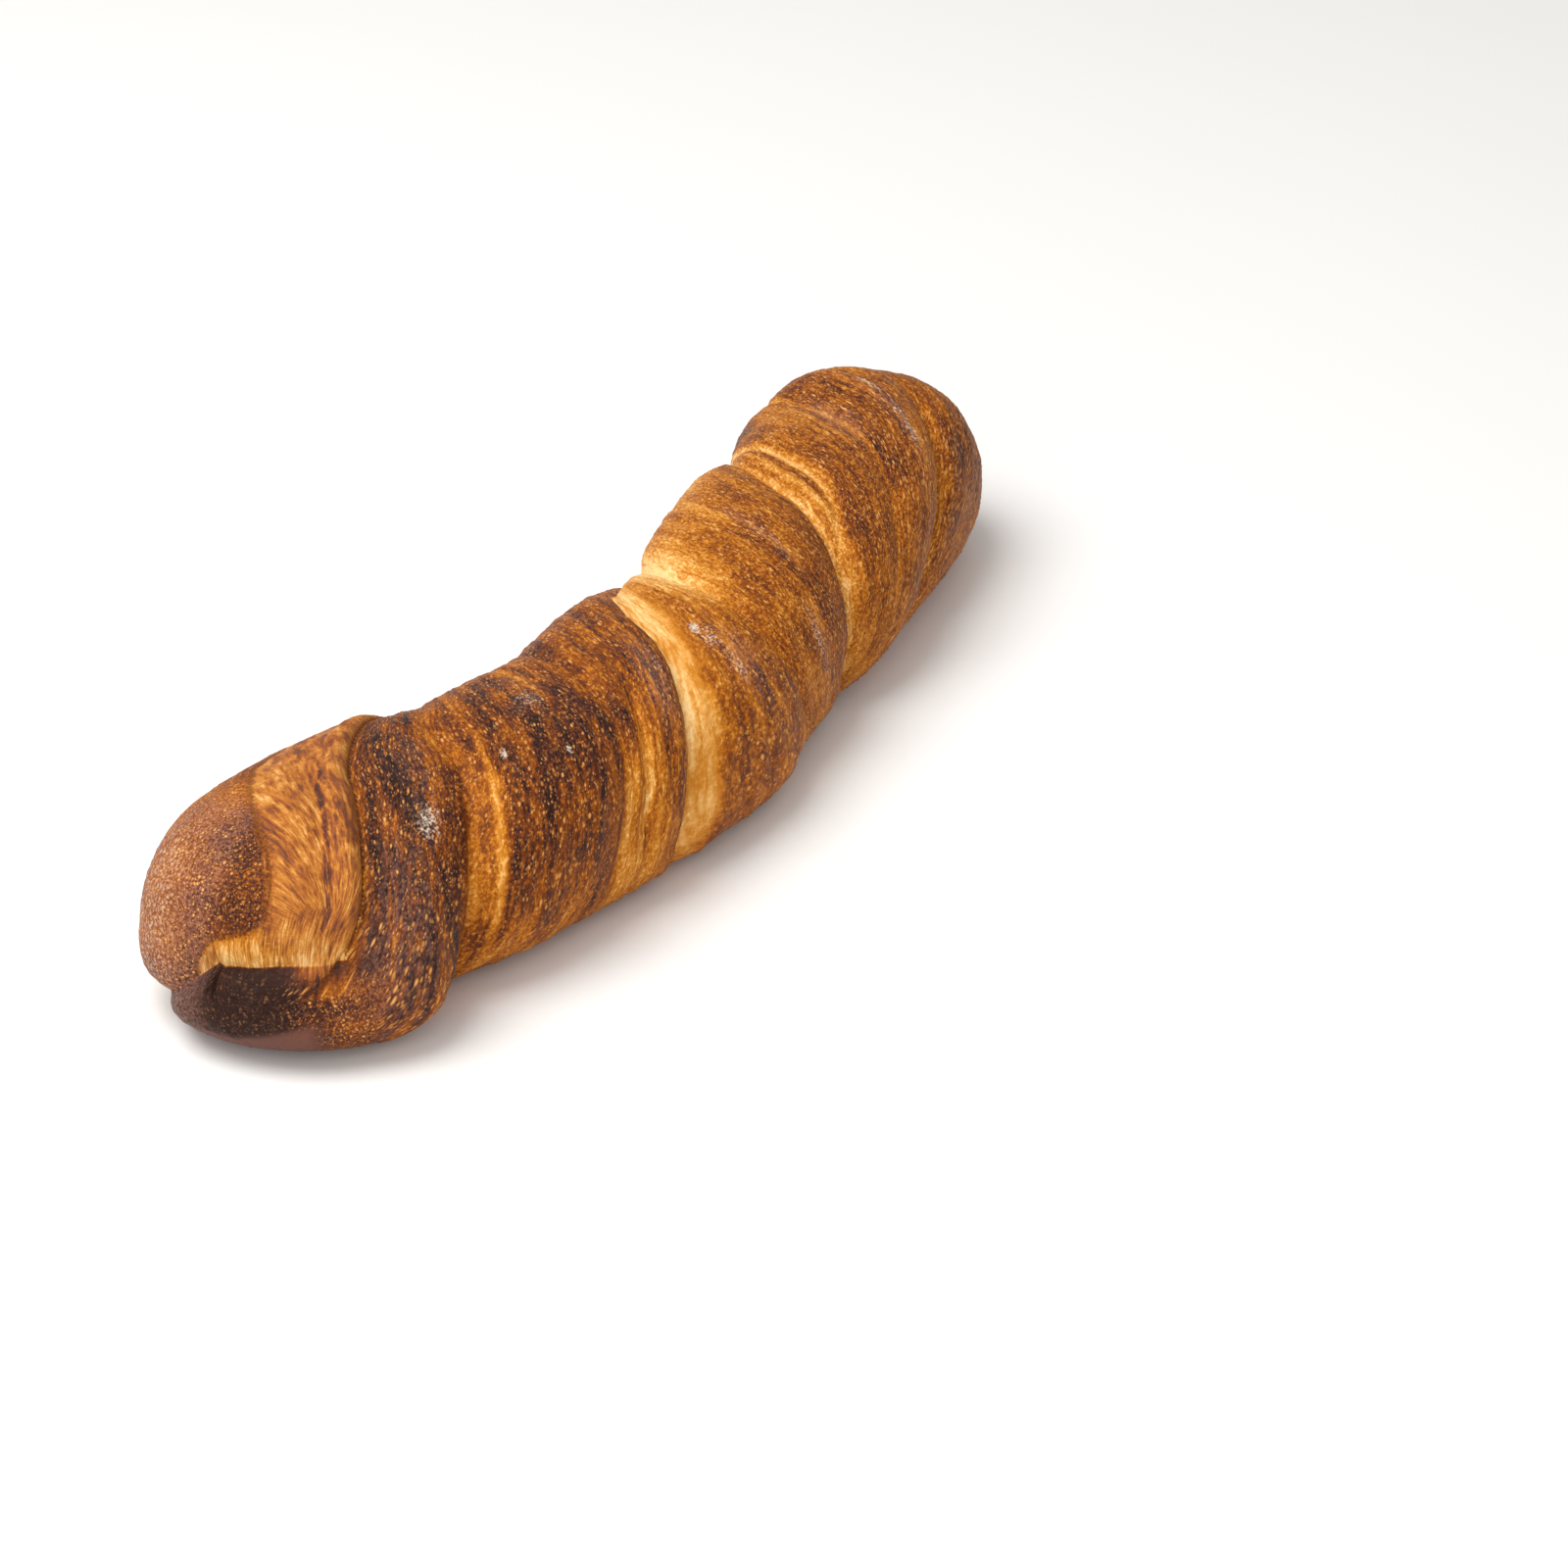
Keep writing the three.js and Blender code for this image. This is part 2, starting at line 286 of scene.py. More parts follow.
# The cream fold reaches to both sides of its line, and is a little darker low on the right
Cream = namedtuple("Cream", "before after shown bake low low_change")
CREAM = Cream(
    before=(-20, -10), after=(5, 21), shown=(-112, 122), bake=0.1, low=(1.2, 1.8), low_change=0.06
)
# The pale band above the ledge: "rise" lifts the two ends of its upper border to the right, and its strands
# stand upright above the edge
Band = namedtuple("Band", "right left rise rising top foot depth upright")
BAND = Band(
    right=(-40, -32), left=(3, 13), rise=(6, 12), rising=(-5, 25), top=(4, 15), foot=(-12, -6),
    depth=(0.45, 0.75), upright=(-1, 0),
)
# Rolled lip past the patch's crease
RolledLip = namedtuple("RolledLip", "start shown")
ROLLED_LIP = RolledLip(start=(-1, 2), shown=(-15, 70))
# The smooth rim of the lower lobe reaches to a height above the base, and higher past a bend to the right
Rim = namedtuple("Rim", "top slope bend soft right depth bake share")
RIM = Rim(top=13.5, slope=0.35, bend=6, soft=3, right=(-31, -24), depth=(0.6, 0.85), bake=0.82, share=0.8)
# Scorched face of the lower lobe, weaker to the left
Face = namedtuple("Face", "depth top right left left_fade")
FACE = Face(depth=(0.35, 0.7), top=(6, 12), right=(-32, -14), left=(12, 24), left_fade=0.6)
# Strands fade on both caps, round the left side, on the far half and on the dome
Grain = namedtuple("Grain", "cap turn turn_fade far far_fade dome_depth dome_left")
GRAIN = Grain(
    cap=(0.3, 0.7), turn=(0.7, 1.4), turn_fade=0.7, far=(-20, 30), far_fade=0.25,
    dome_depth=(0.0, 0.3), dome_left=(-6, 8),
)
# On the near end's dome: a greyish layer of part dust and part painted sheen, and flour that on the dome's
# left stands in part for painted sheen as well
DomeCoat = namedtuple("DomeCoat", "strength depth left")
DOME_DUST_AND_SHEEN = DomeCoat(strength=1.1, depth=(0.1, 0.6), left=(-6, 14))
DOME_FLOUR_AND_SHEEN = DomeCoat(strength=0.34, depth=(0.0, 0.8), left=(2, 26))
UNDERSIDE_TOP = (1, 5)

# Textures of the materials: scale for each metre, or across, along and through the strands for each
# millimetre, then detail and roughness
Texture = namedtuple("Texture", "scale detail roughness")
MOTTLE = Texture(75, 3, 0.5)
BROAD_STRANDS = Texture((0.22, 0.03, 1), 4, 0.6)
FINE_STRANDS = Texture((0.9, 0.14, 1), 3, 0.6)
FIBRES = Texture((1.9, 0.16, 1), 3, 0.6)
LONG_GRAIN = Texture((0.9, 0.45, 1), 2, 0.65)
ROUND_GRAIN = Texture(1000, 2, 0.65)
FLOOR_MOTTLE = Texture(6, 2, 0.5)
NOISE_MIDDLE = 0.5
LONG_GRAIN_SHARE = 0.65
UPRIGHT_SHARE = (0.2, 0.8)

# Blister dots: scales of the large and the small ones, and one dot's reach, full core and strength
LONG_DOTS = ((0.85, 0.42, 1), (1.4, 0.8, 1))
ROUND_DOTS = (800, 1300)
SMALL_DOTS = 0.8
LONG_DOT_SHARE = (0.2, 0.5)
Dot = namedtuple("Dot", "growth least core power faintest")
DOT = Dot(growth=0.42, least=0.16, core=0.3, power=2.0, faintest=0.15)

# Borders frayed by noise: how far it moves them, and the values where a layer begins and is full
Fray = namedtuple("Fray", "amount low high")
LIP_FRAY = Fray(1.0, 0.5, -0.5)
CREAM_EDGE_FRAY = Fray(1.5, -0.5, 0.5)
PATCH_FRAY = Fray(1.0, 0.1, 0.8)
CREAM_FRAY = Fray(1.4, 0.1, 0.9)
BAND_FRAY = Fray(1.2, 0.35, 0.65)
DUST_AND_SHEEN_FRAY = Fray(1.4, 0.2, 0.9)
FLOUR_FRAY = Fray(2.4, 0.3, 1.1)
LEDGE_EDGE = (-0.5, 0.3)
TORN_GRAIN = 0.4

# Bake of the pale and the scorched layers and, as a slope, its change for each millimetre from an edge
PATCH_BAKE = 0.4
ROLLED_LIP_CHANGE = 0.02
CREAM_SLOPE = 0.008
BAND_BAKE = 0.16
BAND_SLOPE = 0.018
SCORCHED_BAKE = 0.95

# Lines along creases: how far they wander, half their width and their bake; noise leaves gaps in the two dark
# lines.
# The patch's dark line is painted shade in its crease, partly darker crust.
CreaseLine = namedtuple("CreaseLine", "wander width bake")
PATCH_CREASE_SHADE = CreaseLine(9.0, 2.0, 0.7)
AMBER_CRACK = CreaseLine(7.0, 0.9, 0.9)
FAR_LINE = CreaseLine(6.0, 2.0, 0.14)
FAR_LINE_SHIFT = 1.2
LINE_STRENGTH = 0.7
LINE_CORE = 0.3
PATCH_SHADE_GAPS = (0.3, 0.55)
AMBER_GAPS = (0.45, 0.6)

# How much streaks, mottle and flecks change the bake
Streaks = namedtuple("Streaks", "broad fine bloomed fibre mottle underside")
STREAKS = Streaks(broad=0.9, fine=0.5, bloomed=1.2, fibre=1.1, mottle=0.35, underside=0.5)
Flecks = namedtuple("Flecks", "gain far smooth darkest")
FLECKS = Flecks(gain=1.2, far=0.4, smooth=-0.7, darkest=-0.05)

# Border of the far half, in metres along the loaf
FAR_HALF = (-0.03, 0.05)

# Blisters, whose light tops are golden crust and partly painted glints: how their strength changes on
# scorched crust, on crust under the greyish layer and on far crust, the bake from which they are full and
# their strength on paler crust, the bake's factor between them and its change on them, and the share of their
# own colour
BlisterAndGlintDots = namedtuple("BlisterAndGlintDots", "scorched bloomed far baked pale bare lighter colour")
BLISTER_AND_GLINT_DOTS = BlisterAndGlintDots(
    scorched=-0.7, bloomed=0.7, far=0.6, baked=(0.4, 0.7), pale=0.7, bare=1.17, lighter=-0.75, colour=0.65
)

# The greyish layer, part dust and part painted sheen, lies between the grain, on the rim and on the patch,
# and not on blisters
Bloom = namedtuple("Bloom", "grain rim patch share")
DUST_AND_SHEEN = Bloom(grain=(0.3, 0.7), rim=0.5, patch=0.25, share=0.6)
FLOUR_EDGE = (0.05, 0.4)

# Finish of the crust: roughness from pale to dark, more under flour, and its finest bumps
Finish = namedtuple("Finish", "pale dark pale_rough dark_rough flour fibre_bump dot_bump strength distance")
FINISH = Finish(
    pale=0.1, dark=0.9, pale_rough=0.6, dark_rough=0.45, flour=0.35,
    fibre_bump=0.8, dot_bump=0.4, strength=0.7, distance=0.0008,
)
SPECULAR = 0.1
SPECULAR_TINT = (1, 0.8, 0.6, 1)

# Places of the bake on the ramp of the crust's colours
BAKE_STEPS = {
    "cream": 0.0, "gold": 0.15, "honey": 0.3, "amber": 0.45,
    "brown": 0.6, "mahogany": 0.75, "dark": 0.88, "scorched": 1.0,
}

# Stage, in metres: softboxes by their place from the loaf's middle and their size, the floor, and the
# point that the camera stands back from
Softbox = namedtuple("Softbox", "offset size")
KEY_LIGHT = Softbox((-0.5, 0.5, 1.5), 1.4)
FILL_LIGHT = Softbox((-1.4, -0.45, 0.8), 1.6)
FLOOR_SIZE = 4
FLOOR_DROP = 0.0003
AIM = Vector((-0.0006, 0.01309, 0))

# Width of the camera's sensor in millimetres, and the finish of the floor
SENSOR_WIDTH = 36
FLOOR_SHADE = 0.985
FLOOR_ROUGHNESS = 0.8

# Numbers of a Mix node's colour sockets, whose names its sockets for plain values have too
FIRST_COLOUR = 6
SECOND_COLOUR = 7
MIXED_COLOUR = 2


def linear(red, green, blue):
    """Linear colour of an sRGB one in 0 to 255."""
    shares = np.array((red, green, blue)) / 255
    return tuple(np.where(shares <= 0.04045, shares / 12.92, ((shares + 0.055) / 1.055) ** 2.4))


def length_property(name, description, metres):
    return bpy.props.FloatProperty(
        name=name, description=description, default=metres, unit="LENGTH", precision=4
    )


def colour_property(name, description, red, green, blue):
    return bpy.props.FloatVectorProperty(
        name=name, description=description, default=linear(red, green, blue), subtype="COLOR", min=0, max=1
    )


class LoafSizes(bpy.types.PropertyGroup):
    """Sizes of the roll of dough and of its crust."""

    length: length_property("Length", "Length of the smooth roll", 0.409)
    near_cap: length_property("Near cap", "Length over which the near end rounds off", 0.051)
    far_cap: length_property("Far cap", "Length over which the far end rounds off", 0.040)
    bow: length_property("Bow", "Sideways bow of the whole roll", -0.0314)
    sway: length_property("Sway", "Sideways swing of the two halves", -0.0144)
    hook: length_property("Hook", "Sideways turn of the two ends", 0.0095)
    strand_height: length_property("Strands", "Height of the strands along the folds", 0.00042)
    blister_height: length_property("Blisters", "Height of the blisters", 0.0004)


class CrustColours(bpy.types.PropertyGroup):
    """Colours of the crust from pale dough to scorched."""

    cream: colour_property("Cream", "Dough that the twist has kept from browning", 245, 202, 136)
    gold: colour_property("Gold", "Lightly baked dough", 226, 168, 92)
    honey: colour_property("Honey", "Golden folds", 203, 132, 46)
    amber: colour_property("Amber", "Edges of the folds", 178, 104, 22)
    brown: colour_property("Brown", "Well-baked crust", 142, 74, 18)
    mahogany: colour_property("Mahogany", "Darker crust on the crowns", 106, 52, 20)
    dark: colour_property("Dark", "Nearly burnt crust", 72, 37, 28)
    scorched: colour_property("Scorched", "Burnt streaks", 42, 24, 22)
    # Blister tops: golden crust with painted glints
    blister_and_glint: colour_property("Blister", "Tops of the small blisters", 222, 164, 98)
    # Greyish layer on the darker crust: part dust, part painted sheen
    bloom: colour_property("Bloom", "Dull bloom on the darker crust", 152, 108, 96)
    flour: colour_property("Flour", "Flour left on the crust", 218, 202, 182)


class StageSettings(bpy.types.PropertyGroup):
    """Camera and light of the studio."""

    azimuth: bpy.props.FloatProperty(
        name="Azimuth", description="Side from which the loaf is seen", default=math.radians(-62.57),
        subtype="ANGLE",
    )
    elevation: bpy.props.FloatProperty(
        name="Elevation", description="Height from which it is seen", default=math.radians(30),
        subtype="ANGLE",
    )
    distance: length_property("Distance", "Distance of the camera from the loaf", 1.6667)
    aim_right: length_property("Aim right", "How far right of the loaf the camera points", 0.0681)
    aim_down: length_property("Aim down", "How far below the loaf the camera points", 0.0096)
    lens: bpy.props.FloatProperty(
        name="Lens", description="Focal length in millimetres", default=118.1, subtype="DISTANCE_CAMERA"
    )
    key_power: bpy.props.FloatProperty(
        name="Key light", description="Power of the softbox above", default=26, unit="POWER"
    )
    fill_power: bpy.props.FloatProperty(
        name="Fill light", description="Power of the softbox in front", default=10, unit="POWER"
    )
    surround: bpy.props.FloatProperty(
        name="Surround", description="Strength of the white surroundings", default=0.5
    )
    floor: colour_property("Floor", "Colour of the pale floor", 244, 242, 239)


Roll = namedtuple("Roll", "length near_cap far_cap bow sway hook")
Surface = namedtuple("Surface", "points outward cap_depth near_depth side ledge level")
CrustFields = namedtuple(
    "CrustFields",
    "place strands upright bake grain bloom flour underside cream_bake on_lip rim scorch patch cream band "
    "lip_edge cream_edge ledge patch_crease amber_crease far_crease",
)
CrustTextures = namedtuple("CrustTextures", "mottle broad fine fibre grain round_grain dots")
CrustLayers = namedtuple("CrustLayers", "patch cream band scorched fibrous smooth")


def smoothstep(value, low, high):
    share = np.clip((value - low) / (high - low), 0, 1)
    return share * share * (3 - 2 * share)


def signed_power(value, power):
    return np.sign(value) * np.abs(value) ** power


def span(angle, start, end, fade=FOLD_FADE):
    """1 between the two angles in degrees, fading to 0 outside them."""
    degrees = np.degrees(angle)
    rise = smoothstep(degrees, start - fade, start + fade)
    return rise * (1 - smoothstep(degrees, end - fade, end + fade))


def fold_place(fold, angle):
    """Where a fold lies along the roll at an angle round it."""
    return fold.at - fold.lean * angle + fold.curl * angle**2


def half_width(way):
    """Half the roll's width at a way along it, from -1 at the near tip to 1 at the far one."""
    shares = [np.exp(-(((way - place) / WIDTH_BLEND) ** 2)) for place in WIDTH_PLACES]
    return sum(share * width for share, width in zip(shares, HALF_WIDTHS)) / sum(shares)


def cap_depth(roll, along):
    """How far into the nearer end cap a place lies: 0 in the body, 1 at the tip."""
    near = 1 - (along + roll.length / 2) / roll.near_cap
    far = 1 - (roll.length / 2 - along) / roll.far_cap
    return np.clip(np.where(along < 0, near, far), 0, 1)


def depth_at(share):
    """Depth into an end cap at which a share of the full section is left, and the other way round."""
    return np.clip(1 - share**SECTION_POWER, 0, 1) ** (1 / SECTION_POWER)


def spine(roll, way):
    """Sideways place of the roll's spine and its slope."""
    place = (
        roll.bow * np.cos(np.pi * way / 2)
        + roll.sway * np.sin(np.pi * way)
        + roll.hook * np.sin(1.5 * np.pi * way)
    )
    slope = (
        -roll.bow * 0.5 * np.pi * np.sin(np.pi * way / 2)
        + roll.sway * np.pi * np.cos(np.pi * way)
        + roll.hook * 1.5 * np.pi * np.cos(1.5 * np.pi * way)
    )
    return place, slope / (roll.length / 2)


def fold_relief(along, angle):
    relief = np.zeros_like(along)
    for fold in FOLDS:
        off = along - fold_place(fold, angle)
        wall = np.where(off < 0, fold.near, fold.far)
        strength = (1 + fold.side * np.sin(angle)) * span(angle, fold.start, fold.end)
        relief -= fold.depth * strength * np.exp(-np.abs(off) / wall)
    off = along - fold_place(LIP, angle)
    return relief + LIP.height * span(angle, LIP.start, LIP.end) * np.exp(-((off / LIP.width) ** 2))


def lump_relief(along, angle):
    relief = np.zeros_like(along)
    for bulge in BULGES:
        length = ((along - bulge.at) / bulge.along) ** 2
        turn = (1 - np.cos(angle - math.radians(bulge.angle))) / math.radians(bulge.round) ** 2
        relief += bulge.height * np.exp(-length - turn)
    for lump in LUMPS:
        relief += lump.height * np.sin(along / lump.along + lump.turns * angle + lump.phase)
    return relief


def ledge_offset(side, height):
    """Height above the top edge of the near end's lower lobe."""
    line = LEDGE.height - LEDGE.slope * np.maximum(0, side - LEDGE.bend) + LEDGE.tilt * np.maximum(0, -side)
    return height - line


def near_end_relief(inward, side, height):
    """Relief of the near end from the way in from the tip, the way left of the spine and the height."""
    off = ledge_offset(side, height)
    wall = np.where(off > 0, LEDGE.over, LEDGE.under)
    crease = (1 - smoothstep(inward, LEDGE.full, LEDGE.reach)) * np.exp(-np.abs(off) / wall)
    crease *= smoothstep(side, LEDGE.right - LEDGE.fade, LEDGE.right + LEDGE.fade)
    lobe = np.exp(-(((height - LOWER_LOBE.height) / LOWER_LOBE.spread) ** 2))
    lobe *= 1 - smoothstep(inward, LOWER_LOBE.full, LOWER_LOBE.reach)
    return LOWER_LOBE.swell * lobe - LEDGE.depth * crease


def loaf_surface(roll, along, angle):
    """Points of the folded loaf at places along it and angles round from the crown, plus to the right."""
    way = along / (roll.length / 2)
    width = half_width(way)
    height = 2 * width * HEIGHT_TO_WIDTH
    middle = WIDEST_AT * height
    depth = cap_depth(roll, along)
    cap = depth_at(depth)
    across = signed_power(np.sin(angle), 2 / SECTION_POWER)
    upward = signed_power(np.cos(angle), 2 / SECTION_POWER)
    rise = np.where(upward > 0, height - middle, middle * BASE_FLATTENING)
    right = width * cap * across
    level = middle + rise * np.where(upward > 0, cap, np.sqrt(cap)) * upward

    place, slope = spine(roll, way)
    run = 1 / np.hypot(1, slope)
    points = np.stack((along + slope * run * right, place - run * right, level), axis=-1)

    # Outward direction of the smooth roll
    steep = SECTION_POWER - 1
    lengthwise = np.sign(along) * depth**steep / np.where(along < 0, roll.near_cap, roll.far_cap)
    rightward = signed_power(cap * across, steep) / width
    outward = np.stack(
        (
            lengthwise * run + rightward * slope * run,
            lengthwise * slope * run - rightward * run,
            signed_power(cap * upward, steep) / rise,
        ),
        axis=-1,
    )
    outward /= np.linalg.norm(outward, axis=-1, keepdims=True)

    side = points[:, 1] - place
    body = 1 - depth**TIP_FADE
    relief = SWELL + body * (fold_relief(along, angle) + lump_relief(along, angle))
    relief += near_end_relief(along + roll.length / 2, side, level)
    points += outward * (relief * smoothstep(level, 0, BASE_FADE))[:, None]
    lowering = smoothstep(-along, -NEAR_END.start, -NEAR_END.end)
    squash = 1 - lowering * (NEAR_END.lift + NEAR_END.sink) / NEAR_END.crown
    points[:, 2] = lowering * NEAR_END.lift + np.maximum(0, points[:, 2]) * squash
    near_depth = np.where(along < 0, depth, 0)
    return Surface(points, outward, depth, near_depth, side, ledge_offset(side, level), level)


def unwound(along, angle):
    """Place along the roll with the twist taken out: the same all along each fold."""
    places = [fold_place(guide, angle) for guide in GUIDES]
    first, last = GUIDES[0], GUIDES[-1]
    straight = np.where(along < places[0], first.at + along - places[0], last.at + along - places[-1])
    for i, (guide, following) in enumerate(zip(GUIDES, GUIDES[1:])):
        share = (along - places[i]) / (places[i + 1] - places[i])
        between = (along >= places[i]) & (along < places[i + 1])
        straight = np.where(between, guide.at + share * (following.at - guide.at), straight)
    return straight


def ring_places(roll, share):
    """Places along the roll of the sphere's rings, from 0 at its near pole to 1 at its far one."""
    half = roll.length / 2
    near_share = NEAR_RINGS / RINGS
    far_share = FAR_RINGS / RINGS
    near = np.sin(0.5 * np.pi * np.clip(share / near_share, 0, 1)) ** NEAR_CROWDING
    far = np.sin(0.5 * np.pi * np.clip((1 - share) / far_share, 0, 1))
    body = np.clip((share - near_share) / (1 - near_share - far_share), 0, 1)
    places = -half + roll.near_cap + body * (roll.length - roll.near_cap - roll.far_cap)
    places -= roll.near_cap * depth_at(near)
    return places + roll.far_cap * depth_at(far)


def lean_rings(roll, straight, angle):
    """Leans the rings with the folds, less toward the base and the two tips."""
    way = straight / (roll.length / 2)
    closing = (1 - (angle / np.pi) ** 4) * (1 - way**2)
    return straight + closing * (RING_CURL * angle**2 - RING_LEAN * angle)


def dough_noise(places, seed):
    """Smooth noise from -1 to 1 at rows of three coordinates."""
    return np.array([noise.noise(place) for place in (places + seed).tolist()])


def ripples(ripple, places):
    return ripple.share * dough_noise(places / ripple.size, ripple.seed)


def spread(place, straight, degrees):
    """Strength of a baked, bloomed or floured place over the crust."""
    along = (straight - place.at) / place.along
    turn = (degrees - place.angle) / place.round
    return place.strength * np.exp(-(along**2) - turn**2)


def toward(bake, level, strength):
    return bake + strength * (level - bake)


def bake_crust(along, angle, straight, surface):
    """How strongly each point is baked, before the dome of the near end."""
    degrees = np.degrees(angle)
    bake = BODY_BAKE + ripples(BAKE_RIPPLE, surface.points)
    for shift in BAKE_SHIFTS:
        bake += shift.amount * smoothstep(straight, shift.start, shift.end)
    drawn_out = STRAND_RADIUS / LEFT_TOAST.stretch * angle
    streaks = np.stack((along + LEFT_TOAST.lean * angle, drawn_out, np.zeros_like(along)), axis=-1)
    left_toast = LEFT_TOAST.bake + ripples(LEFT_RIPPLE, streaks)
    bake += smoothstep(-degrees, LEFT_TOAST.start, LEFT_TOAST.end) * left_toast
    low = smoothstep(np.maximum(degrees, -degrees - FOOT.left_delay), FOOT.start, FOOT.end)
    bake = toward(bake, FOOT.bake, FOOT.strength * low)
    for toast in TOASTED:
        bake = toward(bake, toast.bake, spread(toast, straight, degrees))
    for golden in GOLDEN:
        off = along - fold_place(golden.fold, angle)
        reach = np.where(off < 0, golden.near, golden.far)
        strength = GOLDEN_STRENGTH * span(angle, golden.start, golden.end)
        bake = toward(bake, golden.bake, strength * np.exp(-((off / reach) ** 2)))
    return bake


def bake_near_end(bake, straight, surface):
    """Bake with the near end's dome, lighter to the left as painted light and sheen from that side, and
    darker at its foot.
    """
    dome = smoothstep(surface.near_depth, *DOME.depth) * (1 - smoothstep(straight, *DOME.end))
    foot = smoothstep(surface.side, *DOME.foot_left) * (1 - smoothstep(surface.ledge, *DOME.foot))
    # Paler toward the left: painted light and sheen from that side
    level = DOME.bake + DOME.left_change * smoothstep(surface.side, *DOME.left) + DOME.foot_change * foot
    return toward(bake, level, DOME.strength * dome)


def pale_layers(along, angle, straight, surface):
    """Weights of the fibrous patch of the near end, of the cream fold and of the band above the ledge."""
    degrees = np.degrees(angle)
    border = PATCH.border + PATCH.right_shift * smoothstep(degrees, *PATCH.right_turn)
    border += PATCH.left_shift * smoothstep(-degrees, *PATCH.left_turn)
    patch = smoothstep(straight, border - PATCH.before, border + PATCH.after) * span(angle, *PATCH.shown)
    patch *= 1 - smoothstep(straight, *PATCH.end)
    off = along - fold_place(CREAM_FOLD, angle)
    cream = smoothstep(off, *CREAM.before) * (1 - smoothstep(off, *CREAM.after))
    cream *= span(angle, *CREAM.shown)
    rising = smoothstep(-surface.side, *BAND.rising)
    low, high = (top + rise * rising for top, rise in zip(BAND.top, BAND.rise))
    band = 1 - smoothstep(surface.ledge, low, high)
    band *= smoothstep(surface.ledge, *BAND.foot)
    band *= smoothstep(surface.side, *BAND.right) * (1 - smoothstep(surface.side, *BAND.left))
    band *= smoothstep(surface.near_depth, *BAND.depth)
    return np.stack((patch, cream, band), axis=-1)


def near_end_layers(along, angle, surface):
    """Weights of the rolled lip of the near end's patch, of the smooth rim at its base and of the
    scorched face of its lower lobe."""
    off = along - fold_place(PATCH_CREASE, angle)
    lip = smoothstep(off, *ROLLED_LIP.start) * span(angle, *ROLLED_LIP.shown)
    rim_top = RIM.top + RIM.slope * np.maximum(0, -surface.side - RIM.bend)
    rim = smoothstep(surface.side, *RIM.right) * smoothstep(surface.near_depth, *RIM.depth)
    rim *= 1 - smoothstep(surface.level, rim_top - RIM.soft, rim_top)
    face = smoothstep(surface.near_depth, *FACE.depth) * (1 - smoothstep(surface.ledge, *FACE.top))
    face *= smoothstep(surface.side, *FACE.right)
    face *= 1 - FACE.left_fade * smoothstep(surface.side, *FACE.left)
    return np.stack((lip, rim, face), axis=-1)


def strand_layout(along, angle, straight, surface, patch):
    """Coordinates across and along the strands of the dough: along the folds in the body, and fanned out
    from the foot of the near end's crease in its patch."""
    round_radius = STRAND_RADIUS * depth_at(surface.cap_depth)
    none = np.zeros_like(along)
    body = np.stack((straight, angle * round_radius, none), axis=-1)
    out = along - FAN.at
    up = (math.radians(FAN.angle) - angle) * round_radius
    fan = np.stack((np.arctan2(out, up) * FAN.spread, np.hypot(out, up), none + FAN.shift), axis=-1)
    fanned = (patch > FAN.weight) & (straight < LIP_FOLD.at)
    return np.where(fanned[:, None], fan, body)


def strand_strength(angle, straight, surface, pale):
    """How strongly the strands show, fully in the patch and the band."""
    cap = smoothstep(surface.cap_depth, *GRAIN.cap)
    grain = 1 - np.maximum(cap, GRAIN.turn_fade * smoothstep(-angle, *GRAIN.turn))
    grain *= 1 - GRAIN.far_fade * smoothstep(straight, *GRAIN.far)
    dome = smoothstep(surface.near_depth, *GRAIN.dome_depth) * smoothstep(surface.side, *GRAIN.dome_left)
    return np.maximum(grain * (1 - dome), np.maximum(pale[:, 0], pale[:, 2]))


def coat_strength(places, dome, straight, angle, surface):
    """Strength of a layer laid on at several places and on the near end's dome: the flour, and the greyish
    layer of part dust and part painted sheen.
    """
    degrees = np.degrees(angle)
    on_dome = smoothstep(surface.near_depth, *dome.depth) * smoothstep(surface.side, *dome.left)
    dust = dome.strength * on_dome
    for place in places:
        dust = np.maximum(dust, spread(place, straight, degrees))
    return dust


def strand_relief(strands):
    return sum(ripples(ripple, strands) for ripple in STRAND_RIPPLES)


def fine_relief(sizes, surface, layouts, grain, edges, crease):
    """Strands, upright ones in the band, blisters, slow unevenness, the crisp edges of two folds and the
    rolled lip along the patch's crease."""
    strands, upright, band = layouts
    relief = strand_relief(strands) * (1 - band) + strand_relief(upright) * band
    relief *= sizes.strand_height / MM * grain
    relief += sizes.blister_height / MM * np.maximum(0, ripples(BLISTERS, surface.points))
    relief += ripples(UNEVENNESS, surface.points)
    for off, edge in ((edges[:, 0], LIP_EDGE), (edges[:, 1], CREAM_EDGE)):
        relief += edge.height * (1 - smoothstep(off, *edge.step)) * np.exp(-((off / edge.reach) ** 2))
    rolled = smoothstep(crease, *CREASE_EDGE.step) * np.exp(-((crease / CREASE_EDGE.reach) ** 2))
    relief += CREASE_EDGE.height * rolled
    return relief * smoothstep(surface.level, 0, BASE_FADE)


def crease_distance(fold, along, angle):
    """Distance past a fold, carried far off where the fold doesn't show."""
    off = along - fold_place(fold, angle)
    return off + HIDDEN_CREASE * np.sign(off) * (1 - span(angle, fold.start, fold.end, CREASE_FADE))


def over_frame(points):
    """Points in metres, on the base and centred over the frame's own box."""
    points[:, 2] = np.maximum(0, points[:, 2])
    low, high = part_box("loaf")
    middle = (points.min(axis=0) + points.max(axis=0)) / 2
    points = (points - (middle[0], middle[1], 0)) * MM
    return points + ((low.x + high.x) / 2, (low.y + high.y) / 2, low.z)


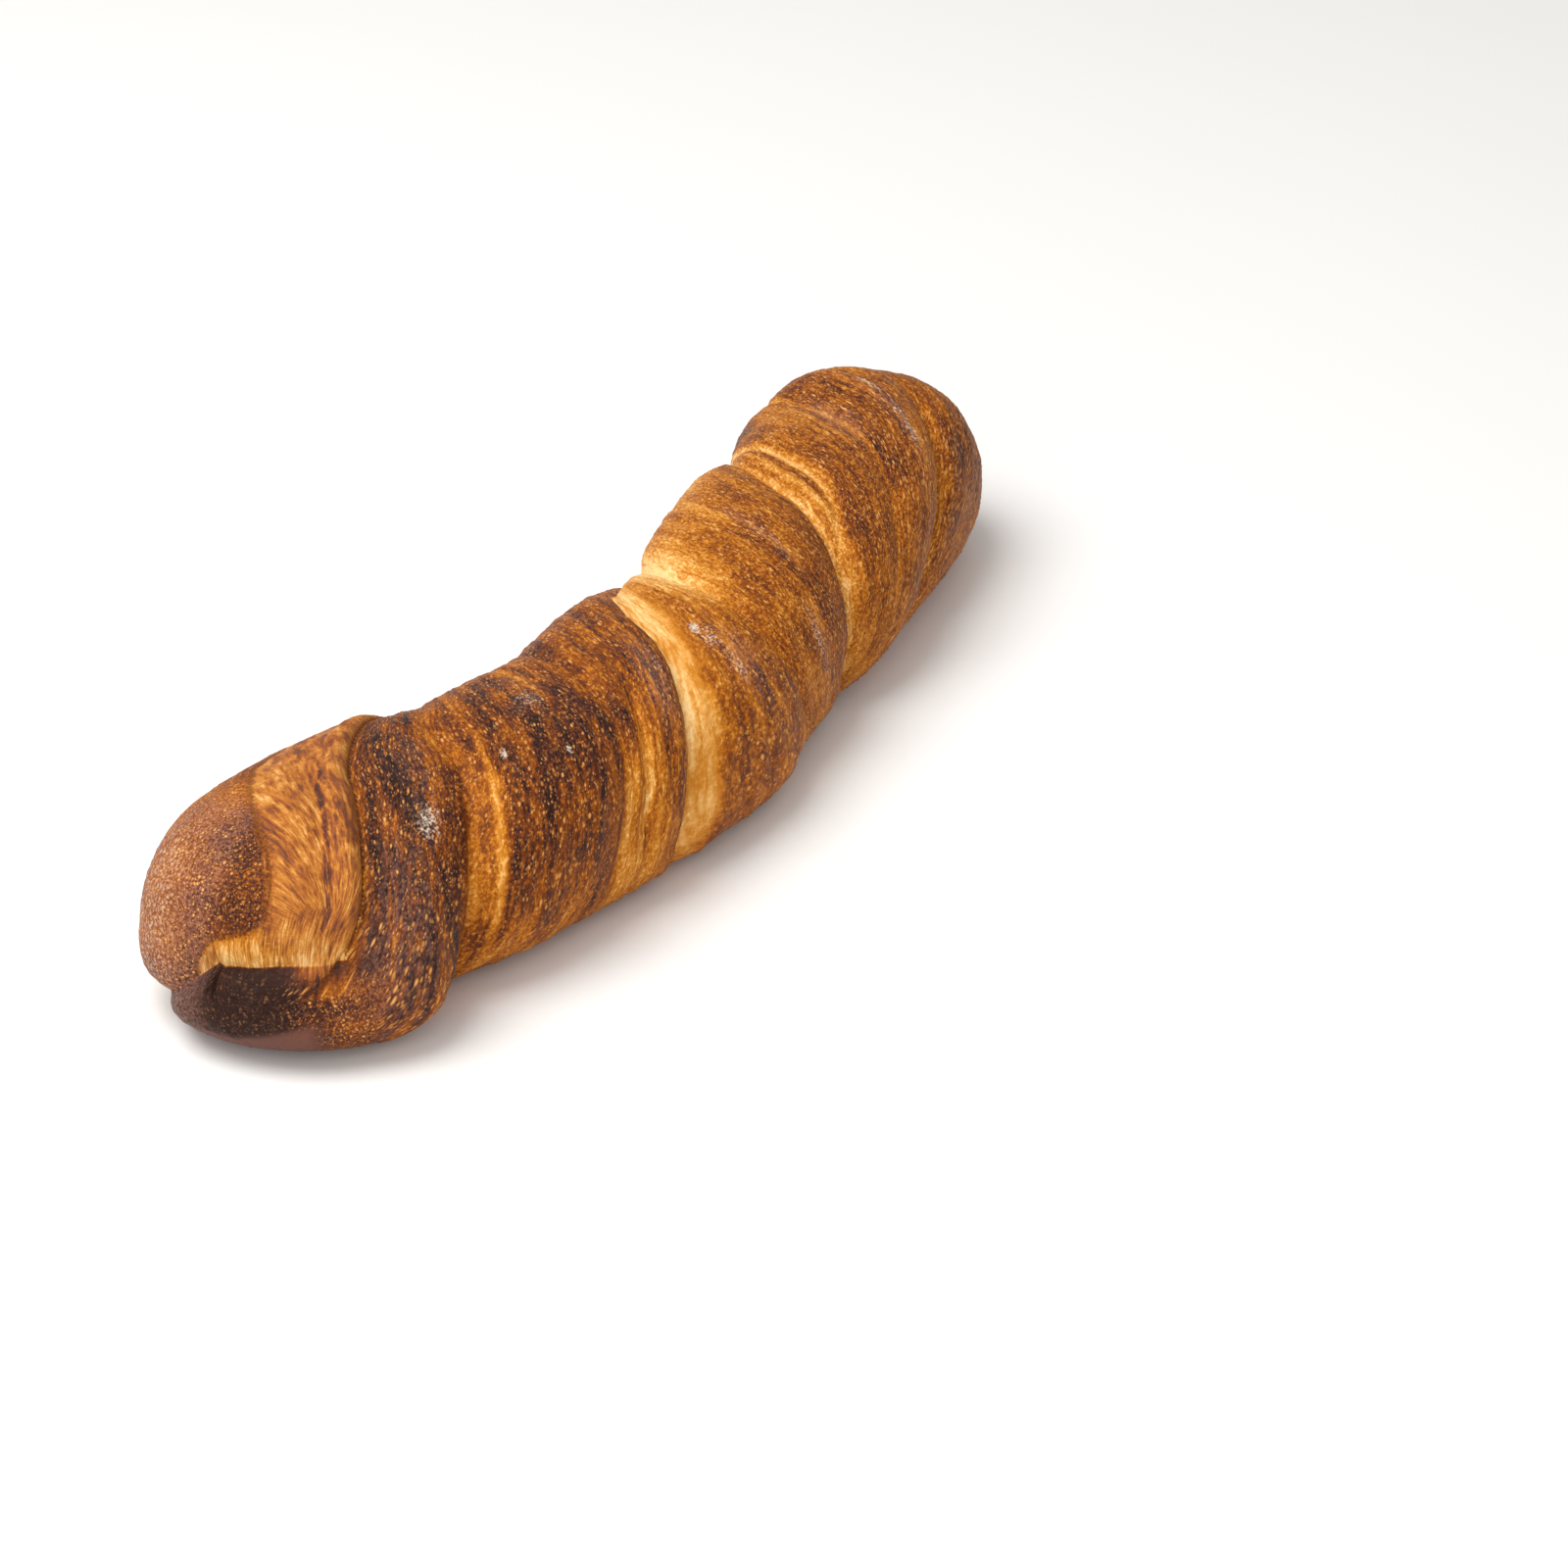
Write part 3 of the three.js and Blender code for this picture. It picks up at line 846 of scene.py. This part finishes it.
def crust_mesh(ball, points):
    """Mesh of a sphere whose vertices are carried to the points."""
    for vertex, place in zip(ball.verts, points.tolist()):
        vertex.co = place
    bmesh.ops.recalc_face_normals(ball, faces=ball.faces)
    for face in ball.faces:
        face.smooth = True
    mesh = bpy.data.meshes.new("loaf_crust")
    ball.to_mesh(mesh)
    ball.free()
    return mesh


def add_attribute(mesh, name, values):
    """Stores a number or a vector for each point of the mesh."""
    kind, item = ("FLOAT_VECTOR", "vector") if values.ndim == 2 else ("FLOAT", "value")
    mesh.attributes.new(name, kind, "POINT").data.foreach_set(item, values.astype(np.float32).ravel())


def shape_crust(sizes):
    """Mesh of the crust: a sphere whose rings are carried to the folded loaf, with its attributes."""
    roll = Roll(*(getattr(sizes, name) / MM for name in Roll._fields))
    ball = bmesh.new()
    bmesh.ops.create_uvsphere(ball, u_segments=SIDES, v_segments=RINGS, radius=1)
    globe = np.array([vertex.co for vertex in ball.verts])
    turn = np.arctan2(globe[:, 1], globe[:, 0])
    angle = turn - CROWN_CROWDING * np.sin(turn)
    upright_ring = ring_places(roll, np.arccos(np.clip(globe[:, 2], -1, 1)) / np.pi)
    along = lean_rings(roll, upright_ring, angle)

    surface = loaf_surface(roll, along, angle)
    straight = unwound(along, angle)
    pale = pale_layers(along, angle, straight, surface)
    strands = strand_layout(along, angle, straight, surface, pale[:, 0])
    upright = np.stack((surface.side, surface.points[:, 2], np.zeros_like(along)), axis=-1)
    grain = strand_strength(angle, straight, surface, pale)
    edges = np.stack(
        (along - fold_place(LIP_FOLD, angle), along - fold_place(CREAM_FOLD, angle), surface.ledge), axis=-1
    )
    creases = np.stack(
        [crease_distance(fold, along, angle) for fold in (PATCH_CREASE, AMBER_FOLD, FAR_FOLD)], axis=-1
    )
    layouts = (strands, upright, pale[:, 2] * smoothstep(surface.ledge, *BAND.upright))
    fine = fine_relief(sizes, surface, layouts, grain, edges, creases[:, 0])
    mesh = crust_mesh(ball, over_frame(surface.points + surface.outward * fine[:, None]))

    attributes = {
        "bake": bake_near_end(bake_crust(along, angle, straight, surface), straight, surface),
        # Greyish layer of part dust and part painted sheen
        "bloom": coat_strength(DUST_AND_SHEEN_PLACES, DOME_DUST_AND_SHEEN, straight, angle, surface),
        "flour": coat_strength(FLOURED, DOME_FLOUR_AND_SHEEN, straight, angle, surface),
        "grain": grain,
        "underside": 1 - smoothstep(surface.level, *UNDERSIDE_TOP),
        "cream_bake": CREAM.bake + CREAM.low_change * smoothstep(angle, *CREAM.low),
        "near_end": near_end_layers(along, angle, surface),
        "strands": strands,
        "upright": upright,
        "pale": pale,
        "edges": edges,
        "creases": creases,
    }
    for name, values in attributes.items():
        add_attribute(mesh, name, values)
    return mesh


def add_node(tree, kind, values=None, **settings):
    """A shader node with its settings and its sockets' values; a value that is a socket is linked."""
    made = tree.nodes.new(kind)
    for name, setting in settings.items():
        setattr(made, name, setting)
    for name, value in (values or {}).items():
        if isinstance(value, bpy.types.NodeSocket):
            tree.links.new(value, made.inputs[name])
        else:
            made.inputs[name].default_value = value
    return made


def maths(tree, operation, first, second=0.0, third=0.0):
    values = {0: first, 1: second, 2: third}
    return add_node(tree, "ShaderNodeMath", values, operation=operation).outputs[0]


def plus(tree, first, second):
    return maths(tree, "ADD", first, second)


def minus(tree, first, second):
    return maths(tree, "SUBTRACT", first, second)


def times(tree, first, second):
    return maths(tree, "MULTIPLY", first, second)


def larger(tree, first, second):
    return maths(tree, "MAXIMUM", first, second)


def scaled(tree, value, factor, offset):
    """A value times a factor, plus an offset."""
    return maths(tree, "MULTIPLY_ADD", value, factor, offset)


def inverse(tree, value):
    return minus(tree, 1.0, value)


def mixed(tree, factor, first, second):
    values = {"Factor": factor, "A": first, "B": second}
    return add_node(tree, "ShaderNodeMix", values, data_type="FLOAT").outputs["Result"]


def colour_mix(tree, factor, first, colour):
    values = {"Factor": factor, FIRST_COLOUR: first, SECOND_COLOUR: (*colour, 1)}
    return add_node(tree, "ShaderNodeMix", values, data_type="RGBA").outputs[MIXED_COLOUR]


def soft_range(tree, value, low, high):
    """0 below low, 1 above high and smooth between."""
    values = {"Value": value, "From Min": low, "From Max": high, "To Min": 0.0, "To Max": 1.0}
    made = add_node(tree, "ShaderNodeMapRange", values, interpolation_type="SMOOTHSTEP")
    return made.outputs["Result"]


def swing(tree, value, amount):
    """A noise value swung round zero by an amount."""
    return times(tree, minus(tree, value, NOISE_MIDDLE), amount)


def frayed(tree, weight, value, fray):
    """A layer's weight with its border frayed by a noise value."""
    return soft_range(tree, plus(tree, weight, swing(tree, value, fray.amount)), fray.low, fray.high)


def field(tree, name, output="Fac"):
    """Values of the mesh's points by the name of their attribute."""
    return add_node(tree, "ShaderNodeAttribute", attribute_name=name).outputs[output]


def split(tree, vector):
    return add_node(tree, "ShaderNodeSeparateXYZ", {"Vector": vector}).outputs


def laid_out(tree, vector, scale):
    """A vector stretched where the scale has three parts, and the scale left for the texture's own node."""
    if not isinstance(scale, tuple):
        return vector, scale
    mapping = add_node(tree, "ShaderNodeMapping", {"Vector": vector, "Scale": scale})
    return mapping.outputs["Vector"], 1


def noise_value(tree, vector, texture):
    vector, scale = laid_out(tree, vector, texture.scale)
    values = {"Vector": vector, "Scale": scale, "Detail": texture.detail, "Roughness": texture.roughness}
    return add_node(tree, "ShaderNodeTexNoise", values).outputs["Fac"]


def strand_noise(tree, fields, upright_share, texture):
    """Noise along the strands, blended into noise along the upright ones of the band."""
    first = noise_value(tree, fields.strands, texture)
    second = noise_value(tree, fields.upright, texture)
    return mixed(tree, upright_share, first, second)


def dot_layer(tree, vector, scale):
    """Dots of many sizes and strengths, up to 1 at their middles."""
    vector, scale = laid_out(tree, vector, scale)
    cells = add_node(tree, "ShaderNodeTexVoronoi", {"Vector": vector, "Scale": scale})
    size, strength, _ = add_node(tree, "ShaderNodeSeparateColor", {"Color": cells.outputs["Color"]}).outputs
    reach = scaled(tree, size, DOT.growth, DOT.least)
    dots = soft_range(tree, cells.outputs["Distance"], reach, times(tree, reach, DOT.core))
    strength = maths(tree, "POWER", strength, DOT.power)
    return times(tree, dots, scaled(tree, strength, 1 - DOT.faintest, DOT.faintest))


def blister_dots(tree, vector, scales):
    large, small = (dot_layer(tree, vector, scale) for scale in scales)
    return larger(tree, large, times(tree, small, SMALL_DOTS))


def crease_line(tree, distance, value, crease_mark):
    """A thin line along a crease, wandering with a noise value."""
    off = maths(tree, "ABSOLUTE", plus(tree, distance, swing(tree, value, crease_mark.wander)))
    return soft_range(tree, off, crease_mark.width, LINE_CORE * crease_mark.width)


def bake_ramp(tree, value, colours):
    ramp = add_node(tree, "ShaderNodeValToRGB", {"Fac": value})
    elements = ramp.color_ramp.elements
    while len(elements) < len(BAKE_STEPS):
        elements.new(0.5)
    for element, (name, position) in zip(elements, BAKE_STEPS.items()):
        element.position = position
        element.color = (*getattr(colours, name), 1)
    return ramp.outputs["Color"]


def crust_fields(tree):
    """What the crust's material reads: the place on the piece and the mesh's attributes."""
    return CrustFields(
        add_node(tree, "ShaderNodeTexCoord").outputs["Object"],
        *(field(tree, name, "Vector") for name in ("strands", "upright")),
        *(field(tree, name) for name in ("bake", "grain", "bloom", "flour", "underside", "cream_bake")),
        *split(tree, field(tree, "near_end", "Vector")),
        *split(tree, field(tree, "pale", "Vector")),
        *split(tree, field(tree, "edges", "Vector")),
        *split(tree, field(tree, "creases", "Vector")),
    )


def crust_textures(tree, fields):
    """Slow mottle, strands, fibres, and the grain and dots of the blisters."""
    upright_share = soft_range(tree, fields.band, *UPRIGHT_SHARE)
    long_grain = noise_value(tree, fields.strands, LONG_GRAIN)
    round_grain = noise_value(tree, fields.place, ROUND_GRAIN)
    long_dots = blister_dots(tree, fields.strands, LONG_DOTS)
    round_dots = blister_dots(tree, fields.place, ROUND_DOTS)
    return CrustTextures(
        mottle=noise_value(tree, fields.place, MOTTLE),
        broad=strand_noise(tree, fields, upright_share, BROAD_STRANDS),
        fine=strand_noise(tree, fields, upright_share, FINE_STRANDS),
        fibre=strand_noise(tree, fields, upright_share, FIBRES),
        grain=mixed(tree, times(tree, fields.grain, LONG_GRAIN_SHARE), round_grain, long_grain),
        round_grain=round_grain,
        dots=mixed(tree, soft_range(tree, fields.grain, *LONG_DOT_SHARE), round_dots, long_dots),
    )


def crust_layers(tree, fields, textures):
    """The layers laid over the baked crust, with crisp borders along the overlapping edges."""
    near_lip = frayed(tree, fields.lip_edge, textures.fine, LIP_FRAY)
    under_cream = frayed(tree, fields.cream_edge, textures.fine, CREAM_EDGE_FRAY)
    over_ledge = soft_range(tree, fields.ledge, *LEDGE_EDGE)
    torn = plus(tree, swing(tree, textures.round_grain, TORN_GRAIN), textures.fibre)
    patch = times(tree, frayed(tree, fields.patch, torn, PATCH_FRAY), near_lip)
    cream = times(tree, frayed(tree, fields.cream, textures.fine, CREAM_FRAY), under_cream)
    band = times(tree, frayed(tree, fields.band, torn, BAND_FRAY), over_ledge)
    scorched = times(tree, fields.scorch, inverse(tree, over_ledge))
    fibrous = larger(tree, patch, band)
    smooth = larger(tree, larger(tree, fibrous, cream), fields.rim)
    return CrustLayers(patch, cream, band, scorched, fibrous, smooth)


def layered_bake(tree, fields, layers):
    """Bake with the pale layers and the scorched one laid over it."""
    patch_bake = scaled(tree, fields.on_lip, ROLLED_LIP_CHANGE, PATCH_BAKE)
    cream_bake = scaled(tree, fields.cream_edge, CREAM_SLOPE, fields.cream_bake)
    band_bake = scaled(tree, fields.ledge, BAND_SLOPE, BAND_BAKE)
    level = mixed(tree, layers.patch, fields.bake, patch_bake)
    level = mixed(tree, layers.cream, level, cream_bake)
    level = mixed(tree, layers.band, level, band_bake)
    return mixed(tree, layers.scorched, level, SCORCHED_BAKE)


def creased_bake(tree, level, fields, textures, layers):
    """Bake with painted shade along the patch's crease, partly darker crust and broken by gaps, the amber
    fold's dark line and the far fold's pale one.
    """
    # Painted shade in the patch's crease, partly darker crust, broken by gaps
    crease_mark = crease_line(tree, fields.patch_crease, textures.broad, PATCH_CREASE_SHADE)
    crease_mark = times(tree, crease_mark, soft_range(tree, textures.fibre, *PATCH_SHADE_GAPS))
    level = mixed(tree, times(tree, crease_mark, layers.patch), level, PATCH_CREASE_SHADE.bake)
    crease_mark = crease_line(tree, fields.amber_crease, textures.broad, AMBER_CRACK)
    crease_mark = times(tree, crease_mark, soft_range(tree, textures.mottle, *AMBER_GAPS))
    level = mixed(tree, times(tree, crease_mark, LINE_STRENGTH), level, AMBER_CRACK.bake)
    beside_crease = minus(tree, fields.far_crease, FAR_LINE_SHIFT)
    line = crease_line(tree, beside_crease, textures.fine, FAR_LINE)
    return mixed(tree, times(tree, line, LINE_STRENGTH), level, FAR_LINE.bake)


def blister_and_glint_strength(tree, fields, textures, layers, far_half):
    """Strength of the blisters, whose light tops are partly painted glints: none where the crust is smooth,
    few where it is scorched or pale.
    """
    dots = times(tree, textures.dots, inverse(tree, layers.smooth))
    dots = times(tree, dots, scaled(tree, layers.scorched, BLISTER_AND_GLINT_DOTS.scorched, 1.0))
    dots = times(tree, dots, scaled(tree, fields.bloom, BLISTER_AND_GLINT_DOTS.bloomed, 1.0))
    dots = times(tree, dots, scaled(tree, far_half, BLISTER_AND_GLINT_DOTS.far, 1.0))
    baked = soft_range(tree, fields.bake, *BLISTER_AND_GLINT_DOTS.baked)
    return times(tree, dots, scaled(tree, baked, 1 - BLISTER_AND_GLINT_DOTS.pale, BLISTER_AND_GLINT_DOTS.pale))


def textured_bake(tree, level, fields, textures, layers, far_half, dots):
    """Bake broken up by strands, fibres, mottle, flecks and blisters, whose lightening is partly painted
    glints; plain on the underside and rim.
    """
    streaks = swing(tree, textures.broad, STREAKS.broad)
    streaks = plus(tree, streaks, swing(tree, textures.fine, STREAKS.fine))
    streaks = times(tree, streaks, scaled(tree, fields.bloom, STREAKS.bloomed, 1.0))
    stranded = times(tree, fields.grain, inverse(tree, layers.scorched))
    level = scaled(tree, streaks, stranded, level)
    level = scaled(tree, swing(tree, textures.fibre, STREAKS.fibre), layers.fibrous, level)
    level = plus(tree, level, swing(tree, textures.mottle, STREAKS.mottle))
    gain = scaled(tree, layers.smooth, FLECKS.smooth, scaled(tree, far_half, FLECKS.far, FLECKS.gain))
    flecks = larger(tree, minus(tree, textures.grain, NOISE_MIDDLE), FLECKS.darkest)
    level = minus(tree, level, times(tree, flecks, gain))
    # Blisters lighten the bake: golden crust and painted glints
    level = times(tree, level, scaled(tree, dots, BLISTER_AND_GLINT_DOTS.lighter, BLISTER_AND_GLINT_DOTS.bare))
    plain = plus(tree, UNDERSIDE_BAKE, swing(tree, textures.mottle, STREAKS.underside))
    level = mixed(tree, fields.underside, level, plain)
    return mixed(tree, times(tree, fields.rim, RIM.share), level, RIM.bake)


def dust_and_sheen_strength(tree, fields, textures, layers, dots):
    """Strength of the dull greyish layer between the blisters: part dust, part painted sheen."""
    dull = frayed(tree, fields.bloom, textures.fine, DUST_AND_SHEEN_FRAY)
    dull = times(tree, dull, soft_range(tree, textures.grain, *DUST_AND_SHEEN.grain))
    dull = larger(tree, dull, times(tree, fields.rim, DUST_AND_SHEEN.rim))
    dull = larger(tree, dull, times(tree, layers.patch, DUST_AND_SHEEN.patch))
    return times(tree, dull, scaled(tree, dots, -DUST_AND_SHEEN.share, DUST_AND_SHEEN.share))


def new_material(name):
    """A material without nodes, and its node tree."""
    material = bpy.data.materials.new(name)
    material.use_nodes = True
    material.node_tree.nodes.clear()
    return material, material.node_tree


def crust_material(colours):
    """Baked crust: colour by bake, broken up by strands and speckled with blisters whose light tops are
    partly painted glints, under a greyish layer of part dust and part painted sheen; flour on top.
    """
    material, tree = new_material("baked_crust")
    fields = crust_fields(tree)
    textures = crust_textures(tree, fields)
    layers = crust_layers(tree, fields, textures)
    far_half = soft_range(tree, split(tree, fields.place)["X"], *FAR_HALF)
    dots = blister_and_glint_strength(tree, fields, textures, layers, far_half)
    level = creased_bake(tree, layered_bake(tree, fields, layers), fields, textures, layers)
    level = textured_bake(tree, level, fields, textures, layers, far_half, dots)

    crust = bake_ramp(tree, level, colours)
    # Blister tops: golden crust and painted glints
    crust = colour_mix(tree, times(tree, dots, BLISTER_AND_GLINT_DOTS.colour), crust, colours.blister_and_glint)
    # Greyish layer: part dust, part painted sheen
    crust = colour_mix(tree, dust_and_sheen_strength(tree, fields, textures, layers, dots), crust, colours.bloom)
    # Flour specks; on the dome's left they stand in part for painted sheen
    specks = frayed(tree, fields.flour, textures.round_grain, FLOUR_FRAY)
    specks = times(tree, specks, soft_range(tree, fields.flour, *FLOUR_EDGE))
    crust = colour_mix(tree, specks, crust, colours.flour)

    values = {
        "Value": level, "From Min": FINISH.pale, "From Max": FINISH.dark,
        "To Min": FINISH.pale_rough, "To Max": FINISH.dark_rough,
    }
    gloss = add_node(tree, "ShaderNodeMapRange", values).outputs["Result"]
    roughness = scaled(tree, specks, FINISH.flour, gloss)
    height = scaled(tree, times(tree, textures.fibre, layers.fibrous), FINISH.fibre_bump, textures.grain)
    height = scaled(tree, dots, FINISH.dot_bump, height)
    values = {"Height": height, "Strength": FINISH.strength, "Distance": FINISH.distance}
    normal = add_node(tree, "ShaderNodeBump", values).outputs["Normal"]
    values = {"Base Color": crust, "Roughness": roughness, "Normal": normal}
    shader = add_node(tree, "ShaderNodeBsdfPrincipled", values)
    shader.inputs["Specular IOR Level"].default_value = SPECULAR
    shader.inputs["Specular Tint"].default_value = SPECULAR_TINT
    add_node(tree, "ShaderNodeOutputMaterial", {"Surface": shader.outputs["BSDF"]})
    return material


def floor_material(colour):
    """Pale matt floor with a hardly visible mottle."""
    material, tree = new_material("pale_floor")
    place = add_node(tree, "ShaderNodeTexCoord").outputs["Object"]
    ramp = add_node(tree, "ShaderNodeValToRGB", {"Fac": noise_value(tree, place, FLOOR_MOTTLE)})
    ramp.color_ramp.elements[0].color = (*[FLOOR_SHADE * share for share in colour], 1)
    ramp.color_ramp.elements[1].color = (*colour, 1)
    values = {"Base Color": ramp.outputs["Color"], "Roughness": FLOOR_ROUGHNESS}
    shader = add_node(tree, "ShaderNodeBsdfPrincipled", values)
    add_node(tree, "ShaderNodeOutputMaterial", {"Surface": shader.outputs["BSDF"]})
    return material


def add_object(name, data):
    made = bpy.data.objects.new(name, data)
    bpy.context.scene.collection.objects.link(made)
    return made


def add_floor(colour):
    ground = bmesh.new()
    bmesh.ops.create_grid(ground, x_segments=1, y_segments=1, size=FLOOR_SIZE)
    bmesh.ops.translate(ground, verts=ground.verts, vec=(0, 0, -FLOOR_DROP))
    mesh = bpy.data.meshes.new("floor")
    ground.to_mesh(mesh)
    ground.free()
    mesh.materials.append(floor_material(colour))
    floor = add_object("floor", mesh)


def add_softbox(name, softbox, power):
    """A round area light that points at the middle of the loaf."""
    light = bpy.data.lights.new(name, "AREA")
    light.shape = "DISK"
    light.size = softbox.size
    light.energy = power
    made = add_object(name, light)
    low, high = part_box("loaf")
    offset = Vector(softbox.offset)
    made.location = (low + high) / 2 + offset
    made.rotation_mode = "QUATERNION"
    made.rotation_quaternion = (-offset).to_track_quat("-Z", "Y")


def add_surround(scene, strength):
    world = bpy.data.worlds.new("surround")
    world.use_nodes = True
    background = world.node_tree.nodes["Background"]
    background.inputs["Color"].default_value = (1, 1, 1, 1)
    background.inputs["Strength"].default_value = strength
    scene.world = world
    scene.view_settings.view_transform = "Standard"


def add_camera(scene, settings):
    """The camera stands back from its aim, then turns a little right of it and below."""
    azimuth, elevation = settings.azimuth, settings.elevation
    level_run = math.cos(elevation)
    ahead = Vector((-math.sin(azimuth) * level_run, math.cos(azimuth) * level_run, -math.sin(elevation)))
    right = Vector((math.cos(azimuth), math.sin(azimuth), 0))
    above = right.cross(ahead)
    camera = bpy.data.cameras.new("camera")
    camera.lens = settings.lens
    camera.sensor_width = SENSOR_WIDTH
    viewer = add_object("camera", camera)
    viewer.location = AIM - ahead * settings.distance
    ahead = ahead * settings.distance + right * settings.aim_right - above * settings.aim_down
    ahead.normalize()
    right = ahead.cross(above).normalized()
    viewer.rotation_mode = "QUATERNION"
    viewer.rotation_quaternion = Matrix((right, right.cross(ahead), -ahead)).transposed().to_quaternion()
    scene.camera = viewer


class LOAF_OT_add_loaf(bpy.types.Operator):
    """Shape the loaf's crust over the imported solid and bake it"""

    bl_idname = "loaf.add_loaf"
    bl_label = "Loaf"

    def execute(self, context):
        mesh = shape_crust(context.scene.loaf_sizes)
        mesh.materials.append(crust_material(context.scene.loaf_colours))
        crust = add_object("loaf_crust", mesh)
        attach(crust, "root")
        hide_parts("loaf")
        return {"FINISHED"}


class LOAF_OT_add_stage(bpy.types.Operator):
    """Lay the floor and set the soft light and the camera"""

    bl_idname = "loaf.add_stage"
    bl_label = "Stage"

    def execute(self, context):
        settings = context.scene.loaf_stage
        add_floor(settings.floor)
        add_softbox("key", KEY_LIGHT, settings.key_power)
        add_softbox("fill", FILL_LIGHT, settings.fill_power)
        add_surround(context.scene, settings.surround)
        add_camera(context.scene, settings)
        return {"FINISHED"}


class LOAF_PT_panel(bpy.types.Panel):
    """Buttons and values of the loaf"""

    bl_idname = "LOAF_PT_panel"
    bl_label = "Twisted rustic loaf"
    bl_space_type = "VIEW_3D"
    bl_region_type = "UI"
    bl_category = "Loaf"

    def draw(self, context):
        for operator in (LOAF_OT_add_loaf, LOAF_OT_add_stage):
            self.layout.operator(operator.bl_idname)
        for group in (context.scene.loaf_sizes, context.scene.loaf_colours, context.scene.loaf_stage):
            for name in group.__annotations__:
                self.layout.prop(group, name)


CLASSES = (LoafSizes, CrustColours, StageSettings, LOAF_OT_add_loaf, LOAF_OT_add_stage, LOAF_PT_panel)


def register():
    for item in CLASSES:
        bpy.utils.register_class(item)
    bpy.types.Scene.loaf_sizes = bpy.props.PointerProperty(type=LoafSizes)
    bpy.types.Scene.loaf_colours = bpy.props.PointerProperty(type=CrustColours)
    bpy.types.Scene.loaf_stage = bpy.props.PointerProperty(type=StageSettings)


def unregister():
    del bpy.types.Scene.loaf_stage
    del bpy.types.Scene.loaf_colours
    del bpy.types.Scene.loaf_sizes
    for item in reversed(CLASSES):
        bpy.utils.unregister_class(item)


def main():
    register()
    bpy.ops.loaf.add_loaf()
    bpy.ops.loaf.add_stage()


if __name__ == "__main__":
    main()
